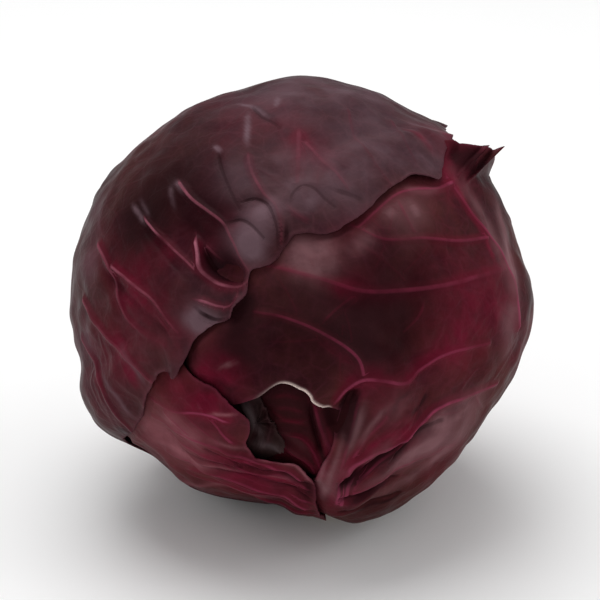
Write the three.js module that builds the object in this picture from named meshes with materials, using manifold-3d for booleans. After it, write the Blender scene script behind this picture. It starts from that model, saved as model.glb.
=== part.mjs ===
// Red cabbage head: a dense ball of overlapping leaves on a short cut stem.
// Millimetres, +Z up. The head lies on its side of the stem, on a small flat spot of the
// back leaf, and its show face looks along -Y and a little upwards.
//
// Every leaf is a closed blade laid over the leaves beneath it: a star-shaped outline round
// a middle direction, filled by a square grid of quads, with the same diagonals on both faces.

import * as THREE from 'three';
import { mergeVertices } from 'three/addons/utils/BufferGeometryUtils.js';
import Module from 'manifold-3d';

const wasm = await Module();
wasm.setup();

// ---------------------------------------------------------------- driving dimensions

const CENTRE = new THREE.Vector3(-0.5, -1.5, 80);  // middle of the head
const FACE_TILT = THREE.MathUtils.degToRad(24);  // show face above the horizontal
const STENCIL_DISTANCE = 900;                    // point that face outlines are projected from
const FRONT_DEPTH = 78;                          // middle of the head to its front
const BACK_DEPTH = 76;                           // and to its back
const ARC_RADIUS = 80;                           // millimetres of leaf per radian of direction

const BLADE = 1.2;                               // thickness of a blade
const BLADE_EDGE = 0.8;                          // and at its margin
const EDGE_RUN = 12;                             // width of the thinner margin
const BASE_EXTRA = 1;                            // extra thickness at the fleshy leaf base
const BASE_REACH = 24;                           // how far up the leaf that reaches
const GAP = 1.3;                                 // air between two leaves
const CLEARANCE = 0.3;                           // gap under the stem
const SNAP = 0.01;                               // corners lie on a lattice of this step
const DRAPE = 15;                                // run-out of a leaf's step in the leaf above
const DRAPE_START = 5;                           // which begins this far outside its margin
const EDGE_CROWDING = 1.25;                      // crowds the grid towards the margin
const CORE_INSET = 3;                            // the core lies this far under its leaves
const CORE_DETAIL = 5;
const SPOKE_STEPS = 360;                         // steps that measure a margin's length
const MARGIN_STEPS = 600;                        // points that distances to it are taken from
const SPOKE_EVENNESS = 0.85;                     // 1 spaces the rim evenly, 0 by angle

const STEM_RADIUS = 11;
const STEM_HEIGHT = 5;
const STEM_CLEAR = 1.2;                          // leaf bases end this far from the stem
const STEM_SINK = 7;                             // depth of its foot in the head

// Girth of the head seen square to its show face: radius at every 15 degrees,
// counterclockwise from the right.
const GIRTH = [
  84.5, 81, 81.5, 83.5, 79.5, 80, 81, 79, 80, 80.5, 82.5, 83,
  83, 82.5, 84, 77, 77.5, 74.5, 74, 83, 82, 80, 80, 82.5,
];

// ---------------------------------------------------------------- directions

const ACROSS = new THREE.Vector3(1, 0, 0);
const UPWARD = new THREE.Vector3(0, Math.sin(FACE_TILT), Math.cos(FACE_TILT));
const OUTWARD = new THREE.Vector3(0, -Math.cos(FACE_TILT), Math.sin(FACE_TILT));

// A direction from the middle of the head: across, up the show face, out of the show face.
function heading(across, up, out) {
  return new THREE.Vector3()
    .addScaledVector(ACROSS, across)
    .addScaledVector(UPWARD, up)
    .addScaledVector(OUTWARD, out)
    .normalize();
}

const STEM_AXIS = heading(0.15, -0.96, -0.23);

// Smooth closed curve through values at even steps of the full turn.
function evenCurve(values, turn) {
  const n = values.length;
  const x = ((turn / (2 * Math.PI)) % 1 + 1) % 1 * n;
  const i = Math.floor(x);
  const t = x - i;
  const at = (k) => values[((i + k) % n + n) % n];
  const slopeA = (at(1) - at(-1)) / 2;
  const slopeB = (at(2) - at(0)) / 2;
  return at(0) * (1 + 2 * t) * (1 - t) ** 2 + slopeA * t * (1 - t) ** 2
    + at(1) * t * t * (3 - 2 * t) + slopeB * t * t * (t - 1);
}

// Radius of the bare head in a direction, before any wrapper leaf.
function headRadius(dir) {
  const out = dir.dot(OUTWARD);
  const turn = Math.atan2(dir.dot(UPWARD), dir.dot(ACROSS));
  const depth = out > 0 ? FRONT_DEPTH : BACK_DEPTH;
  return evenCurve(GIRTH, turn) * (1 - out * out) + depth * out * out;
}

// Direction of a point of the show face, from its stencil coordinates in millimetres.
function front([u, v]) {
  let out = FRONT_DEPTH * 0.6;
  let dir = heading(u, v, out);
  for (let pass = 0; pass < 12; pass += 1) {
    const near = 1 - out / STENCIL_DISTANCE;
    const radius = headRadius(dir) + 4;
    const side = Math.hypot(u, v) * near;
    out = Math.sqrt(Math.max(radius * radius - side * side, 1));
    dir = heading(u * near, v * near, out);
  }
  return dir;
}

// Direction of a point of the hidden side: mirrored through the rim, so u stays across.
function back([u, v]) {
  const reach = Math.min(Math.hypot(u, v) / ARC_RADIUS, 1);
  const out = -Math.sqrt(1 - reach * reach);
  return heading(u / ARC_RADIUS, v / ARC_RADIUS, out);
}

const smooth = (x) => {
  const t = Math.min(Math.max(x, 0), 1);
  return t * t * (3 - 2 * t);
};

const arc = (a, b) => ARC_RADIUS * Math.acos(Math.min(Math.max(a.dot(b), -1), 1));

// ---------------------------------------------------------------- leaves

// Reach of a leaf from its middle at any turn: a smooth closed curve through the outline
// points, with slopes held back so that it never overshoots them.
class Outline {
  constructor(points) {
    this.knots = [...points].sort((a, b) => a.turn - b.turn);
    const n = this.knots.length;
    this.knots.forEach((knot, i) => {
      const before = this.knots[(i + n - 1) % n];
      const after = this.knots[(i + 1) % n];
      const stepA = (knot.turn - before.turn + 2 * Math.PI) % (2 * Math.PI);
      const stepB = (after.turn - knot.turn + 2 * Math.PI) % (2 * Math.PI);
      const slopeA = (knot.reach - before.reach) / stepA;
      const slopeB = (after.reach - knot.reach) / stepB;
      knot.step = stepB;
      knot.slope = slopeA * slopeB > 0 ? 2 * slopeA * slopeB / (slopeA + slopeB) : 0;
    });
  }

  reach(turn) {
    const n = this.knots.length;
    let i = n - 1;
    while (i > 0 && this.knots[i].turn > turn) i -= 1;
    if (this.knots[i].turn > turn) i = n - 1;
    const a = this.knots[i];
    const b = this.knots[(i + 1) % n];
    const t = ((turn - a.turn + 2 * Math.PI) % (2 * Math.PI)) / a.step;
    return a.reach * (1 + 2 * t) * (1 - t) ** 2 + a.slope * a.step * t * (1 - t) ** 2
      + b.reach * t * t * (3 - 2 * t) + b.slope * a.step * t * t * (t - 1);
  }
}

// Turn of a grid spoke: even in angle at the middle, nearly even along the margin at the rim.
function spokeTable(outline) {
  const step = 2 * Math.PI / SPOKE_STEPS;
  const lengths = [0];
  for (let k = 0; k < SPOKE_STEPS; k += 1) {
    const a = outline.reach(k * step);
    const b = outline.reach(((k + 1) % SPOKE_STEPS) * step);
    lengths.push(lengths[k] + Math.hypot(b - a, (a + b) / 2 * step));
  }
  return lengths.map((length) => length / lengths[SPOKE_STEPS]);
}

function spokeTurn(table, turn, evenness) {
  const along = turn / (2 * Math.PI);
  let k = 0;
  while (k < SPOKE_STEPS - 1 && table[k + 1] < along) k += 1;
  const even = (k + (along - table[k]) / (table[k + 1] - table[k])) / SPOKE_STEPS;
  return 2 * Math.PI * (along + (even - along) * evenness);
}

// Points along a rib, each with the height that the rib stands up there.
function ribPoints({ path, height }) {
  const curve = new THREE.CatmullRomCurve3(path, false, 'centripetal');
  return Array.from({ length: RIB_STEPS + 1 }, (_, k) => ({
    dir: curve.getPointAt(k / RIB_STEPS).normalize(),
    height: height * (1 - 0.5 * k / RIB_STEPS),
  }));
}

// A round swelling of the surface: middle, radius, height.
const swelling = ([u, v, radius, height], place = front) =>
  ({ dir: place([u, v]), radius, height });

const swellAt = (dir, swellings) => swellings.reduce(
  (sum, s) => sum + s.height * Math.exp(-((arc(dir, s.dir) / s.radius) ** 2)), 0);

class Leaf {
  constructor({ outline, hidden = [], ribs, puffs = [], rolls = [], lift = 0, ...rest }) {
    Object.assign(this, { rolls, lift, ...rest });
    this.puffs = puffs.map((puff) => swelling(puff));
    this.ribs = ribs.flatMap(ribPoints);
    this.east = new THREE.Vector3().crossVectors(UPWARD, this.middle).normalize();
    this.north = new THREE.Vector3().crossVectors(this.middle, this.east);
    const tucked = hidden.map(([turn, reach]) => ({ turn: turn * Math.PI / 180, reach }));
    this.outline = new Outline([...outline.map((dir) => this.chart(dir)), ...tucked]);
    this.spokes = spokeTable(this.outline);
    this.margin = Array.from({ length: MARGIN_STEPS }, (_, k) => {
      const turn = spokeTurn(this.spokes, 2 * Math.PI * k / MARGIN_STEPS, 1);
      return this.heading(turn, this.outline.reach(turn));
    });
    this.rolls.forEach((roll) => { roll.turn = this.chart(roll.at).turn; });
    this.below = [];
  }

  // Turn and distance of a direction from the middle of the leaf.
  chart(dir) {
    const turn = Math.atan2(dir.dot(this.north), dir.dot(this.east));
    return { turn: (turn + 2 * Math.PI) % (2 * Math.PI), reach: arc(dir, this.middle) };
  }

  heading(turn, reach) {
    const angle = reach / ARC_RADIUS;
    return new THREE.Vector3()
      .addScaledVector(this.middle, Math.cos(angle))
      .addScaledVector(this.east, Math.cos(turn) * Math.sin(angle))
      .addScaledVector(this.north, Math.sin(turn) * Math.sin(angle));
  }

  // Distance over the head to the nearest point of the margin.
  fromMargin(dir) {
    const nearest = this.margin.reduce((most, spot) => Math.max(most, dir.dot(spot)), -1);
    return ARC_RADIUS * Math.acos(Math.min(1, nearest));
  }

  // 1 on the leaf, falling to 0 a little way outside its margin.
  cover(dir) {
    const { turn, reach } = this.chart(dir);
    if (reach < this.outline.reach(turn)) return 1;
    return 1 - smooth((this.fromMargin(dir) - DRAPE_START) / DRAPE);
  }

  thickness(dir) {
    return BLADE + BASE_EXTRA * Math.exp(-((arc(dir, STEM_AXIS) / BASE_REACH) ** 2));
  }

  // Waves of the margin: the blade stands off in folds that fade towards the middle, and lies
  // flat where another leaf presses on it.
  ripple(dir, turn, inset) {
    const { count, height, run } = this.waves;
    const fold = 0.5 + 0.3 * Math.sin(count * turn) + 0.2 * Math.sin((2 * count + 3) * turn + 1);
    const bare = this.above.reduce((share, leaf) => share * (1 - leaf.cover(dir)), 1);
    return height * fold * bare * Math.exp(-((inset / run) ** 2));
  }

  // Height of the leaf's inner face over the middle of the head.
  innerRadius(dir) {
    const lower = this.below.reduce(
      (sum, leaf) => sum + leaf.cover(dir) * (leaf.thickness(dir) + GAP + leaf.swell(dir)), 0);
    return headRadius(dir) - swellAt(dir, HOLLOWS) + lower + this.swell(dir) + this.lift;
  }

  swell(dir) {
    return swellAt(dir, this.puffs);
  }

  // Level of the rest plane for a face of this leaf: each leaf above it takes its own place.
  floor(outer) {
    const layers = LEAVES.length - 1 - LEAVES.indexOf(this);
    return layers * (BLADE + GAP) + (outer ? 0 : BLADE);
  }

  rollAt(turn) {
    let best = { length: 0, radius: 1 };
    this.rolls.forEach((roll) => {
      const away = Math.abs(Math.atan2(Math.sin(turn - roll.turn), Math.cos(turn - roll.turn)));
      const share = 1 - smooth(away / roll.spread);
      if (share * roll.length > best.length) {
        best = { length: share * roll.length, radius: roll.radius };
      }
    });
    return best;
  }

  // A point of the blade; side 0 is the inner face and 1 the outer.
  point({ turn, share, ridge }, side) {
    const whole = this.outline.reach(turn);
    const fromEdge = whole * (1 - share);
    const roll = this.rollAt(turn);
    const flat = Math.max(fromEdge, roll.length);
    const dir = this.heading(turn, whole - flat);
    const bend = (flat - fromEdge) / roll.radius;
    const away = this.heading(turn, whole - flat + 1).sub(dir).projectOnPlane(dir).normalize();
    const inset = this.fromMargin(this.heading(turn, whole * share));
    const edge = Math.exp(-((inset / EDGE_RUN) ** 2));
    const blade = (this.thickness(dir) * (1 - edge) + BLADE_EDGE * edge) * side;
    const radius = this.innerRadius(dir) + this.ripple(dir, turn, inset) + ridge;
    let up = radius + roll.radius * (1 - Math.cos(bend)) + blade * Math.cos(bend);
    const drop = -dir.z;
    if (drop > 0.3) up = Math.min(up, (CENTRE.z - this.floor(side === 1)) / drop);
    const along = roll.radius * Math.sin(bend) - blade * Math.sin(bend);
    return dir.multiplyScalar(up).addScaledVector(away, along).add(CENTRE);
  }

  // The rib point that a direction lies on or next to, if any.
  nearestRib(dir) {
    let best = null;
    let least = RIB_REACH;
    this.ribs.forEach((spot) => {
      const away = arc(dir, spot.dir);
      if (away < least) {
        least = away;
        best = spot;
      }
    });
    return best;
  }

  // A corner of the grid: it moves onto a rib close by, and rises with the rib.
  corner(turn, share) {
    const whole = this.outline.reach(turn);
    const dir = this.heading(turn, whole * share);
    const spot = this.nearestRib(dir);
    if (!spot) return { turn, share, ridge: 0 };
    const bare = this.above.reduce((part, leaf) => part * (1 - leaf.cover(spot.dir)), 1);
    const away = arc(dir, spot.dir);
    const onMargin = share > 1 - 1 / this.rings;
    if (onMargin || away > RIB_PULL * whole / this.rings) {
      return { turn, share, ridge: spot.height * bare * (1 - smooth(away / RIB_REACH)) };
    }
    const moved = this.chart(spot.dir);
    const movedShare = moved.reach / this.outline.reach(moved.turn);
    return { turn: moved.turn, share: movedShare, ridge: spot.height * bare };
  }

  blade() {
    const n = 2 * this.rings;
    const positions = [];
    const index = [];
    const faceSize = (n + 1) ** 2;
    for (let side = 0; side < 2; side += 1) {
      for (let j = 0; j <= n; j += 1) {
        for (let i = 0; i <= n; i += 1) {
          const [turn, ring] = discTurn(i / this.rings - 1, j / this.rings - 1);
          const share = 1 - (1 - ring) ** EDGE_CROWDING;
          const spoke = spokeTurn(this.spokes, turn, SPOKE_EVENNESS * share);
          positions.push(...this.point(this.corner(spoke, share), side).toArray());
        }
      }
    }
    const vertex = (i, j, side) => side * faceSize + j * (n + 1) + i;
    const quad = (a, b, c, d) => index.push(a, b, c, a, c, d);
    for (let j = 0; j < n; j += 1) {
      for (let i = 0; i < n; i += 1) {
        const [a, b, c, d] = [[i, j], [i + 1, j], [i + 1, j + 1], [i, j + 1]];
        quad(vertex(...a, 1), vertex(...b, 1), vertex(...c, 1), vertex(...d, 1));
        index.push(vertex(...a, 0), vertex(...c, 0), vertex(...b, 0));
        index.push(vertex(...a, 0), vertex(...d, 0), vertex(...c, 0));
      }
    }
    for (let k = 0; k < n; k += 1) {
      quad(vertex(k, 0, 0), vertex(k + 1, 0, 0), vertex(k + 1, 0, 1), vertex(k, 0, 1));
      quad(vertex(n, k, 0), vertex(n, k + 1, 0), vertex(n, k + 1, 1), vertex(n, k, 1));
      quad(vertex(k + 1, n, 0), vertex(k, n, 0), vertex(k, n, 1), vertex(k + 1, n, 1));
      quad(vertex(0, k + 1, 0), vertex(0, k, 0), vertex(0, k, 1), vertex(0, k + 1, 1));
    }
    return solidOf(positions, index);
  }

  // The whole leaf, cut clear of the stem.
  solid() {
    return largest(this.blade().subtract(STEM_WELL));
  }
}

// Square to disc: turn and ring of a grid point, both from -1 to 1.
function discTurn(x, y) {
  const ring = Math.max(Math.abs(x), Math.abs(y));
  if (ring === 0) return [0, 0];
  const wide = Math.abs(x) >= Math.abs(y);
  let turn = wide ? Math.PI / 4 * (y / x) : Math.PI / 2 - Math.PI / 4 * (x / y);
  if (wide ? x < 0 : y < 0) turn += Math.PI;
  return [(turn + 2 * Math.PI) % (2 * Math.PI), ring];
}

// ---------------------------------------------------------------- solids

function solidOf(positions, index) {
  const mesh = new wasm.Mesh({
    numProp: 3,
    vertProperties: new Float32Array(positions),
    triVerts: new Uint32Array(index),
  });
  return new wasm.Manifold(mesh);
}

function solidFromGeometry(geometry) {
  const bare = geometry.clone();
  bare.deleteAttribute('normal');
  bare.deleteAttribute('uv');
  const spots = bare.attributes.position;
  for (let i = 0; i < spots.array.length; i += 1) {
    spots.array[i] = Math.round(spots.array[i] / SNAP) * SNAP;
  }
  const merged = mergeVertices(bare, SNAP / 2);
  const corners = merged.index.array;
  const index = [];
  for (let i = 0; i < corners.length; i += 3) {
    const [a, b, c] = corners.subarray(i, i + 3);
    if (a !== b && b !== c && c !== a) index.push(a, b, c);
  }
  return solidOf(merged.attributes.position.array, index);
}

function geometryOf(solid) {
  const mesh = solid.getMesh();
  const geometry = new THREE.BufferGeometry();
  geometry.setAttribute('position', new THREE.BufferAttribute(mesh.vertProperties, 3));
  geometry.setIndex(new THREE.BufferAttribute(mesh.triVerts, 1));
  geometry.computeVertexNormals();
  return geometry;
}

// Joins and cuts can leave a loose scrap or a sealed pocket: only the biggest skin is the piece.
function largest(solid) {
  const bodies = solidFromGeometry(geometryOf(solid)).decompose();
  return bodies.reduce((best, body) => (body.volume() > best.volume() ? body : best));
}

// Stands a lathed or cylindrical geometry (axis Y) on the stem axis, its foot at a radius.
function onStemAxis(geometry, foot) {
  const turn = new THREE.Quaternion().setFromUnitVectors(new THREE.Vector3(0, 1, 0), STEM_AXIS);
  geometry.applyQuaternion(turn);
  const place = STEM_AXIS.clone().multiplyScalar(foot).add(CENTRE);
  return geometry.translate(place.x, place.y, place.z);
}

// ---------------------------------------------------------------- the leaves of this head
// Points are millimetres across and up, from the middle of the head: front(...) on the show
// face, back(...) on the hidden side.

const RIB_REACH = 4.5;   // half width of a rib at its foot
const RIB_PULL = 0.2;    // grid corners move onto a rib from this share of a grid step
const RIB_STEPS = 60;    // straight pieces that a rib is measured along

// Pockets pressed into the head itself, and a heavy side under it (a depth below zero), which
// every leaf above follows.
const HOLLOWS = [
  ...[[-29, 13, 7, 4], [11, -46, 6, 3], [18.5, -39, 5, 2.5], [3, -70, 5, 3]]
    .map((pocket) => swelling(pocket)),
  swelling([-20, -63, 28, -4], back),
];

const rib = (height, frontPart, backPart = []) =>
  ({ height, path: [...backPart.map(back), ...frontPart.map(front)] });

const innerLeaf = new Leaf({
  name: 'inner_leaf',
  colour: '#3a1a1c',
  middle: front([-2, -44]),
  rings: 7,
  waves: { count: 5, height: 0, run: 10 },
  outline: [
    [-4, -8], [16, -14], [34, -26], [38, -44], [32, -60], [22, -72], [12, -78], [0, -77],
    [-16, -72], [-34, -62], [-44, -48], [-40, -30], [-24, -14],
  ].map(front),
  puffs: [
    [-2, -41, 8, 1.2], [-1, -57, 5, 1],
  ],
  ribs: [
    rib(2.4, [[14, -72], [12.5, -60], [10, -54], [7.5, -48], [5.8, -41], [5, -34]]),
    rib(1.6, [[9, -74], [7.5, -64], [4, -56], [0, -52.5], [-6, -52]]),
  ],
});

const tornShred = new Leaf({
  name: 'torn_shred',
  colour: '#1f1214',
  middle: front([-16, -46]),
  rings: 4,
  waves: { count: 4, height: 2.2, run: 8 },
  outline: [
    [-22, -35], [-17.5, -35], [-13, -39.5], [-10.5, -44.5], [-8, -50], [-5, -54.5], [-9, -58],
    [-17, -60], [-21, -53], [-20, -44],
  ].map(front),
  ribs: [],
});

const rightLeaf = new Leaf({
  name: 'right_leaf',
  colour: '#4a1c2c',
  middle: front([44, 26]),
  rings: 15,
  waves: { count: 11, height: 1.2, run: 9 },
  outline: [
    ...[
      [2, -80], [5, -70], [8.5, -62], [12, -56], [13.5, -51], [15.6, -42.7], [11, -40.6], [6.7, -38.6],
      [2.8, -33.6], [-6.3, -30.1], [-15.6, -35], [-26, -38], [-35.5, -35.5], [-42.5, -26],
      [-44.5, -15],
      [-41, 0], [-22.5, 22.5], [-3.5, 34], [15, 45], [37, 58], [50, 61], [62, 57],
    ].map(front),
    ...[
      [66, 35], [62, 18], [56, 0], [54, -22], [50, -45], [34, -66], [18, -76],
    ].map(back),
  ],
  puffs: [
    [40, 30, 14, 2.2], [35, 12, 16, 1.6], [12, 3, 14, 1.6], [48, -12, 15, 1.8],
    [30, -18, 9, 1.2], [58, -50, 12, 1.2], [36, -38, 9, 1.5], [10, 16, 13, 1.4],
  ],
  rolls: [
    { at: front([64, 53]), spread: 0.4, length: 15, radius: 9 },
    { at: front([2, -34]), spread: 0.3, length: 3, radius: 2.5 },
  ],
  ribs: [
    rib(2.4, [[14, -76], [18, -66], [24, -60], [39, -51], [55.5, -40], [77, -31.5]]),
    rib(2.2, [[14, -37], [18, -32.5], [23, -29.5], [30, -29.5], [38, -30], [55.5, -20], [72, -16.5]]),
    rib(1.4, [[14, -68], [17, -57], [20.5, -46], [23, -36]]),
    rib(1.8, [[24, -31], [20.5, -20.5], [8, -12], [-5.5, -6.5], [-16.5, -4.5]]),
    rib(1.2, [[7.5, -9.5], [11, -5.5], [20.5, 2]]),
    rib(1.8, [[74, 11], [54, 5.5], [37, 3.5], [22.5, 3.5], [7.5, 8], [-11, 13]]),
    rib(1.5, [[61, 22.5], [46.5, 23], [31.5, 22.5], [20.5, 28]]),
    rib(1.5, [[57.5, 41], [52, 42.5], [37, 40]]),
    rib(2, [[83, -13], [82.5, -3.5], [77, 16.5], [67, 31.5], [57.5, 45]]),
    rib(1.4, [[15.5, -72], [29.5, -68], [42, -62], [54, -56]]),
    rib(1.2, [[46.5, 0], [44, -6.5], [40, -11]]),
    rib(1.6, [], [[24, -74], [50, -56], [64, -34], [70, -8]]),
  ],
});

const backRightLeaf = new Leaf({
  name: 'back_right_leaf',
  colour: '#45202f',
  middle: back([38, -2]),
  rings: 8,
  lift: 0.5,
  waves: { count: 9, height: 1.6, run: 10 },
  outline: [
    [11, -78], [40, -64], [62, -42], [72, -16], [75, 12], [72, 34], [58, 54], [34, 68],
    [8, 68], [-14, 52], [-22, 22], [-18, -14], [-8, -48], [0, -70],
  ].map(back),
  puffs: [],
  ribs: [
    rib(2.2, [], [[20, -74], [44, -58], [58, -34], [62, -6], [56, 24], [40, 46]]),
    rib(1.5, [], [[60, -22], [68, -8], [70, 6]]),
    rib(1.5, [], [[61, 4], [66, 20], [62, 32]]),
    rib(1.5, [], [[52, 30], [36, 30], [24, 24]]),
  ],
});

const lowerLeftLeaf = new Leaf({
  name: 'lower_left_leaf',
  colour: '#4f1f30',
  middle: front([-40, -62]),
  rings: 10,
  waves: { count: 9, height: 1, run: 8 },
  outline: [
    ...[
      [8, -80], [6.2, -74], [5.6, -68.7], [1.9, -63.8], [-3.7, -60], [-11, -57.2],
      [-16.7, -56.8], [-19.5, -52.5], [-18, -47], [-19.5, -41.5], [-24, -37], [-35.5, -30],
      [-46, -22], [-58, -22], [-70, -32],
    ].map(front),
    ...[[-66, -42], [-52, -52], [-32, -65], [-12, -74], [4, -78]].map(back),
  ],
  puffs: [
    [-40, -45, 12, 1.5], [-30, -58, 8, 1], [-52, -56, 10, 1],
  ],
  rolls: [{ at: front([-9, -58]), spread: 0.2, length: 3, radius: 2.2 }],
  ribs: [
    rib(2.2, [[5, -76], [-11, -70.5], [-26, -66], [-37, -63], [-50, -57]]),
    rib(1.8, [[2, -68], [-11, -60], [-18.5, -57.5], [-29.5, -54], [-39, -50], [-50, -42]]),
    rib(1.3, [[-22, -53], [-30, -46], [-36, -38]]),
    rib(1.3, [[-34, -52], [-46, -48], [-56, -44]]),
  ],
});

const topLeaf = new Leaf({
  name: 'top_leaf',
  colour: '#3d2a34',
  middle: heading(-0.55, 0.62, -0.05),
  rings: 16,
  lift: 0.5,
  waves: { count: 13, height: 1.8, run: 9 },
  outline: [
    ...[
      [56.5, 64.5], [57.5, 61], [55, 55.7], [54.3, 50.9], [52.8, 45.3], [48, 44.8],
      [41.5, 45.5], [38, 44], [31.5, 39.5],
      [26, 34], [20.5, 29.5], [16.5, 27], [11, 24.5], [2, 24.5], [-2, 24], [-4.5, 21],
      [-6.5, 18.5], [-10.5, 13.5], [-14, 12], [-18.5, 11], [-19.5, 5.5], [-19.5, 1],
      [-21, -4.5], [-26.5, -8], [-32.5, -9.5], [-39, -15], [-40.5, -20.5], [-42.5, -25],
      [-44.5, -29], [-47, -27], [-52, -28.5], [-55.5, -33], [-58, -39], [-59.5, -44.5],
      [-62.5, -49.5], [-65, -55],
    ].map(front),
  ],
  hidden: [
    [284, 122], [270, 132], [262, 165], [255, 196], [246, 184], [232, 158], [217, 143],
    [200, 130], [186, 115], [163, 107], [140, 109], [119, 112],
  ],
  puffs: [
    [-20, 21, 6, 2], [-15, 29, 6.5, 2], [-38, -6, 5, 2], [-47, 8, 10, 1.6],
    [-58, -8, 9, 1.5], [-33, 46, 12, 1.8], [-9, 52, 12, 1.8], [13, 42, 11, 1.8],
    [28, 52, 10, 1.5], [-48, 40, 10, 1.5], [-30, 4.5, 4, 2.5],
  ],
  rolls: [
    { at: front([-21, -4.5]), spread: 0.12, length: 6, radius: 3.5 },
    { at: front([45, 45]), spread: 0.16, length: 3, radius: 3 },
    { at: front([-50, -27]), spread: 0.16, length: 4, radius: 3 },
  ],
  ribs: [
    rib(2.6, [], [[-72, -10], [-66, 10], [-52, 36], [-34, 56], [-20, 68]]),
    rib(2, [[-55, 62], [-50, 52], [-43.5, 41], [-31.5, 31], [-25.5, 24], [-21, 13]]),
    rib(2, [[-18, 80], [-18.5, 74], [-20, 61], [-18, 46.5], [-9.5, 34], [-7.5, 23]]),
    rib(1.4, [[-30, 60], [-29.5, 44.5], [-23, 31.5]]),
    rib(2, [[0, 80], [-0.5, 63], [-0.5, 52], [-3.5, 37]]),
    rib(1.5, [[0, 62], [6.5, 54.5], [16.5, 41.5]]),
    rib(1.5, [[18, 74], [20.5, 62], [26.5, 51], [34, 42]]),
    rib(1.4, [[34, 70], [38, 60], [44, 50]]),
    rib(2, [[-76, 44], [-64, 38], [-52, 24], [-41, 13], [-34, 8]]),
    rib(2.2, [[-80, 22], [-71.5, 14], [-61, 4], [-50, -6.5], [-42, -17]]),
    rib(1.6, [[-82, 12], [-72, 0], [-63, -10], [-52.5, -17]]),
    rib(1.6, [[-83, 2], [-74, -13], [-64, -22.5], [-54, -31]]),
    rib(1.5, [[-84, -12], [-76, -28], [-70.5, -40], [-63, -49]]),
  ],
});

const backLeaf = new Leaf({
  name: 'back_leaf',
  colour: '#41222f',
  middle: back([2, -28]),
  rings: 12,
  lift: 2.2,
  waves: { count: 11, height: 1.8, run: 10 },
  outline: [
    [-64, -28], [-66, -6], [-56, 18], [-36, 40], [-12, 52], [12, 50], [34, 38], [50, 16],
    [58, -10], [56, -34], [44, -56], [27, -69], [13, -78], [-7, -73], [-24, -68], [-41, -61],
    [-56, -48],
  ].map(back),
  puffs: [],
  ribs: [
    rib(2.4, [], [[2, -52], [1, -20], [0, 10], [-2, 44]]),
    rib(1.8, [], [[2, -46], [20, -34], [40, -10], [46, 8]]),
    rib(1.6, [], [[1, -20], [16, -4], [28, 24]]),
    rib(1.8, [], [[2, -42], [-22, -28], [-46, -4], [-54, 10]]),
    rib(1.6, [], [[1, -14], [-16, 4], [-30, 32]]),
    rib(1.6, [], [[-4, -56], [-30, -48], [-56, -34]]),
  ],
});

// From the inside out.
const LEAVES = [
  innerLeaf, tornShred, rightLeaf, backRightLeaf, lowerLeftLeaf, topLeaf, backLeaf,
];
LEAVES.forEach((leaf, i) => {
  leaf.below = LEAVES.slice(0, i);
  leaf.above = LEAVES.slice(i + 1);
});

const STEM_FOOT = headRadius(STEM_AXIS) - STEM_SINK;
const STEM_WELL = solidFromGeometry(
  onStemAxis(new THREE.CylinderGeometry(
    STEM_RADIUS + STEM_CLEAR, STEM_RADIUS + STEM_CLEAR, 60, 24), STEM_FOOT + 30));

// The dense head under the wrapper leaves, cut away round the foot of the stem.
function headCore() {
  const geometry = new THREE.IcosahedronGeometry(1, CORE_DETAIL);
  const position = geometry.attributes.position;
  const dir = new THREE.Vector3();
  const level = CENTRE.z - LEAVES[0].floor(false) - BLADE - GAP;
  for (let i = 0; i < position.count; i += 1) {
    dir.fromBufferAttribute(position, i).normalize();
    let radius = headRadius(dir) - swellAt(dir, HOLLOWS) - CORE_INSET;
    if (dir.z < -0.3) radius = Math.min(radius, level / -dir.z);
    dir.multiplyScalar(radius).add(CENTRE);
    position.setXYZ(i, dir.x, dir.y, dir.z);
  }
  return solidFromGeometry(geometry).subtract(STEM_WELL);
}

// The cut stem: a short turned stub with a softened cut edge.
function stem() {
  const r = STEM_RADIUS;
  const h = STEM_HEIGHT;
  const profile = [[0, 0], [r, 0], [r, h - 1.2], [r - 1.2, h], [0, h]];
  const points = profile.map(([x, y]) => new THREE.Vector2(x, y));
  return solidFromGeometry(onStemAxis(new THREE.LatheGeometry(points, 24), STEM_FOOT + CLEARANCE));
}

function pieceOf(name, solid, colour, roughness) {
  const material = new THREE.MeshStandardMaterial({ color: colour, roughness, metalness: 0 });
  const mesh = new THREE.Mesh(geometryOf(solid), material);
  mesh.name = name;
  return mesh;
}

const group = new THREE.Group();
group.add(pieceOf('head_core', headCore(), '#35181f', 0.6));
group.add(pieceOf('stem_stump', stem(), '#c9b59a', 0.8));
LEAVES.forEach((leaf) => group.add(pieceOf(leaf.name, leaf.solid(), leaf.colour, 0.45)));

export default group;
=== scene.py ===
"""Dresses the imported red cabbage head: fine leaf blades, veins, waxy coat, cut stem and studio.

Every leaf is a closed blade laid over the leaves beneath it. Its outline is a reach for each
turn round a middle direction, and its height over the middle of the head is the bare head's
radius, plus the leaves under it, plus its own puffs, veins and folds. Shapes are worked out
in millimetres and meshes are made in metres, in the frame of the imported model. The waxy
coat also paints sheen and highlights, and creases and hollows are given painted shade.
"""

from __future__ import annotations

import logging
from dataclasses import dataclass, field
from enum import Enum
from math import cos, pi, radians, sin

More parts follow.
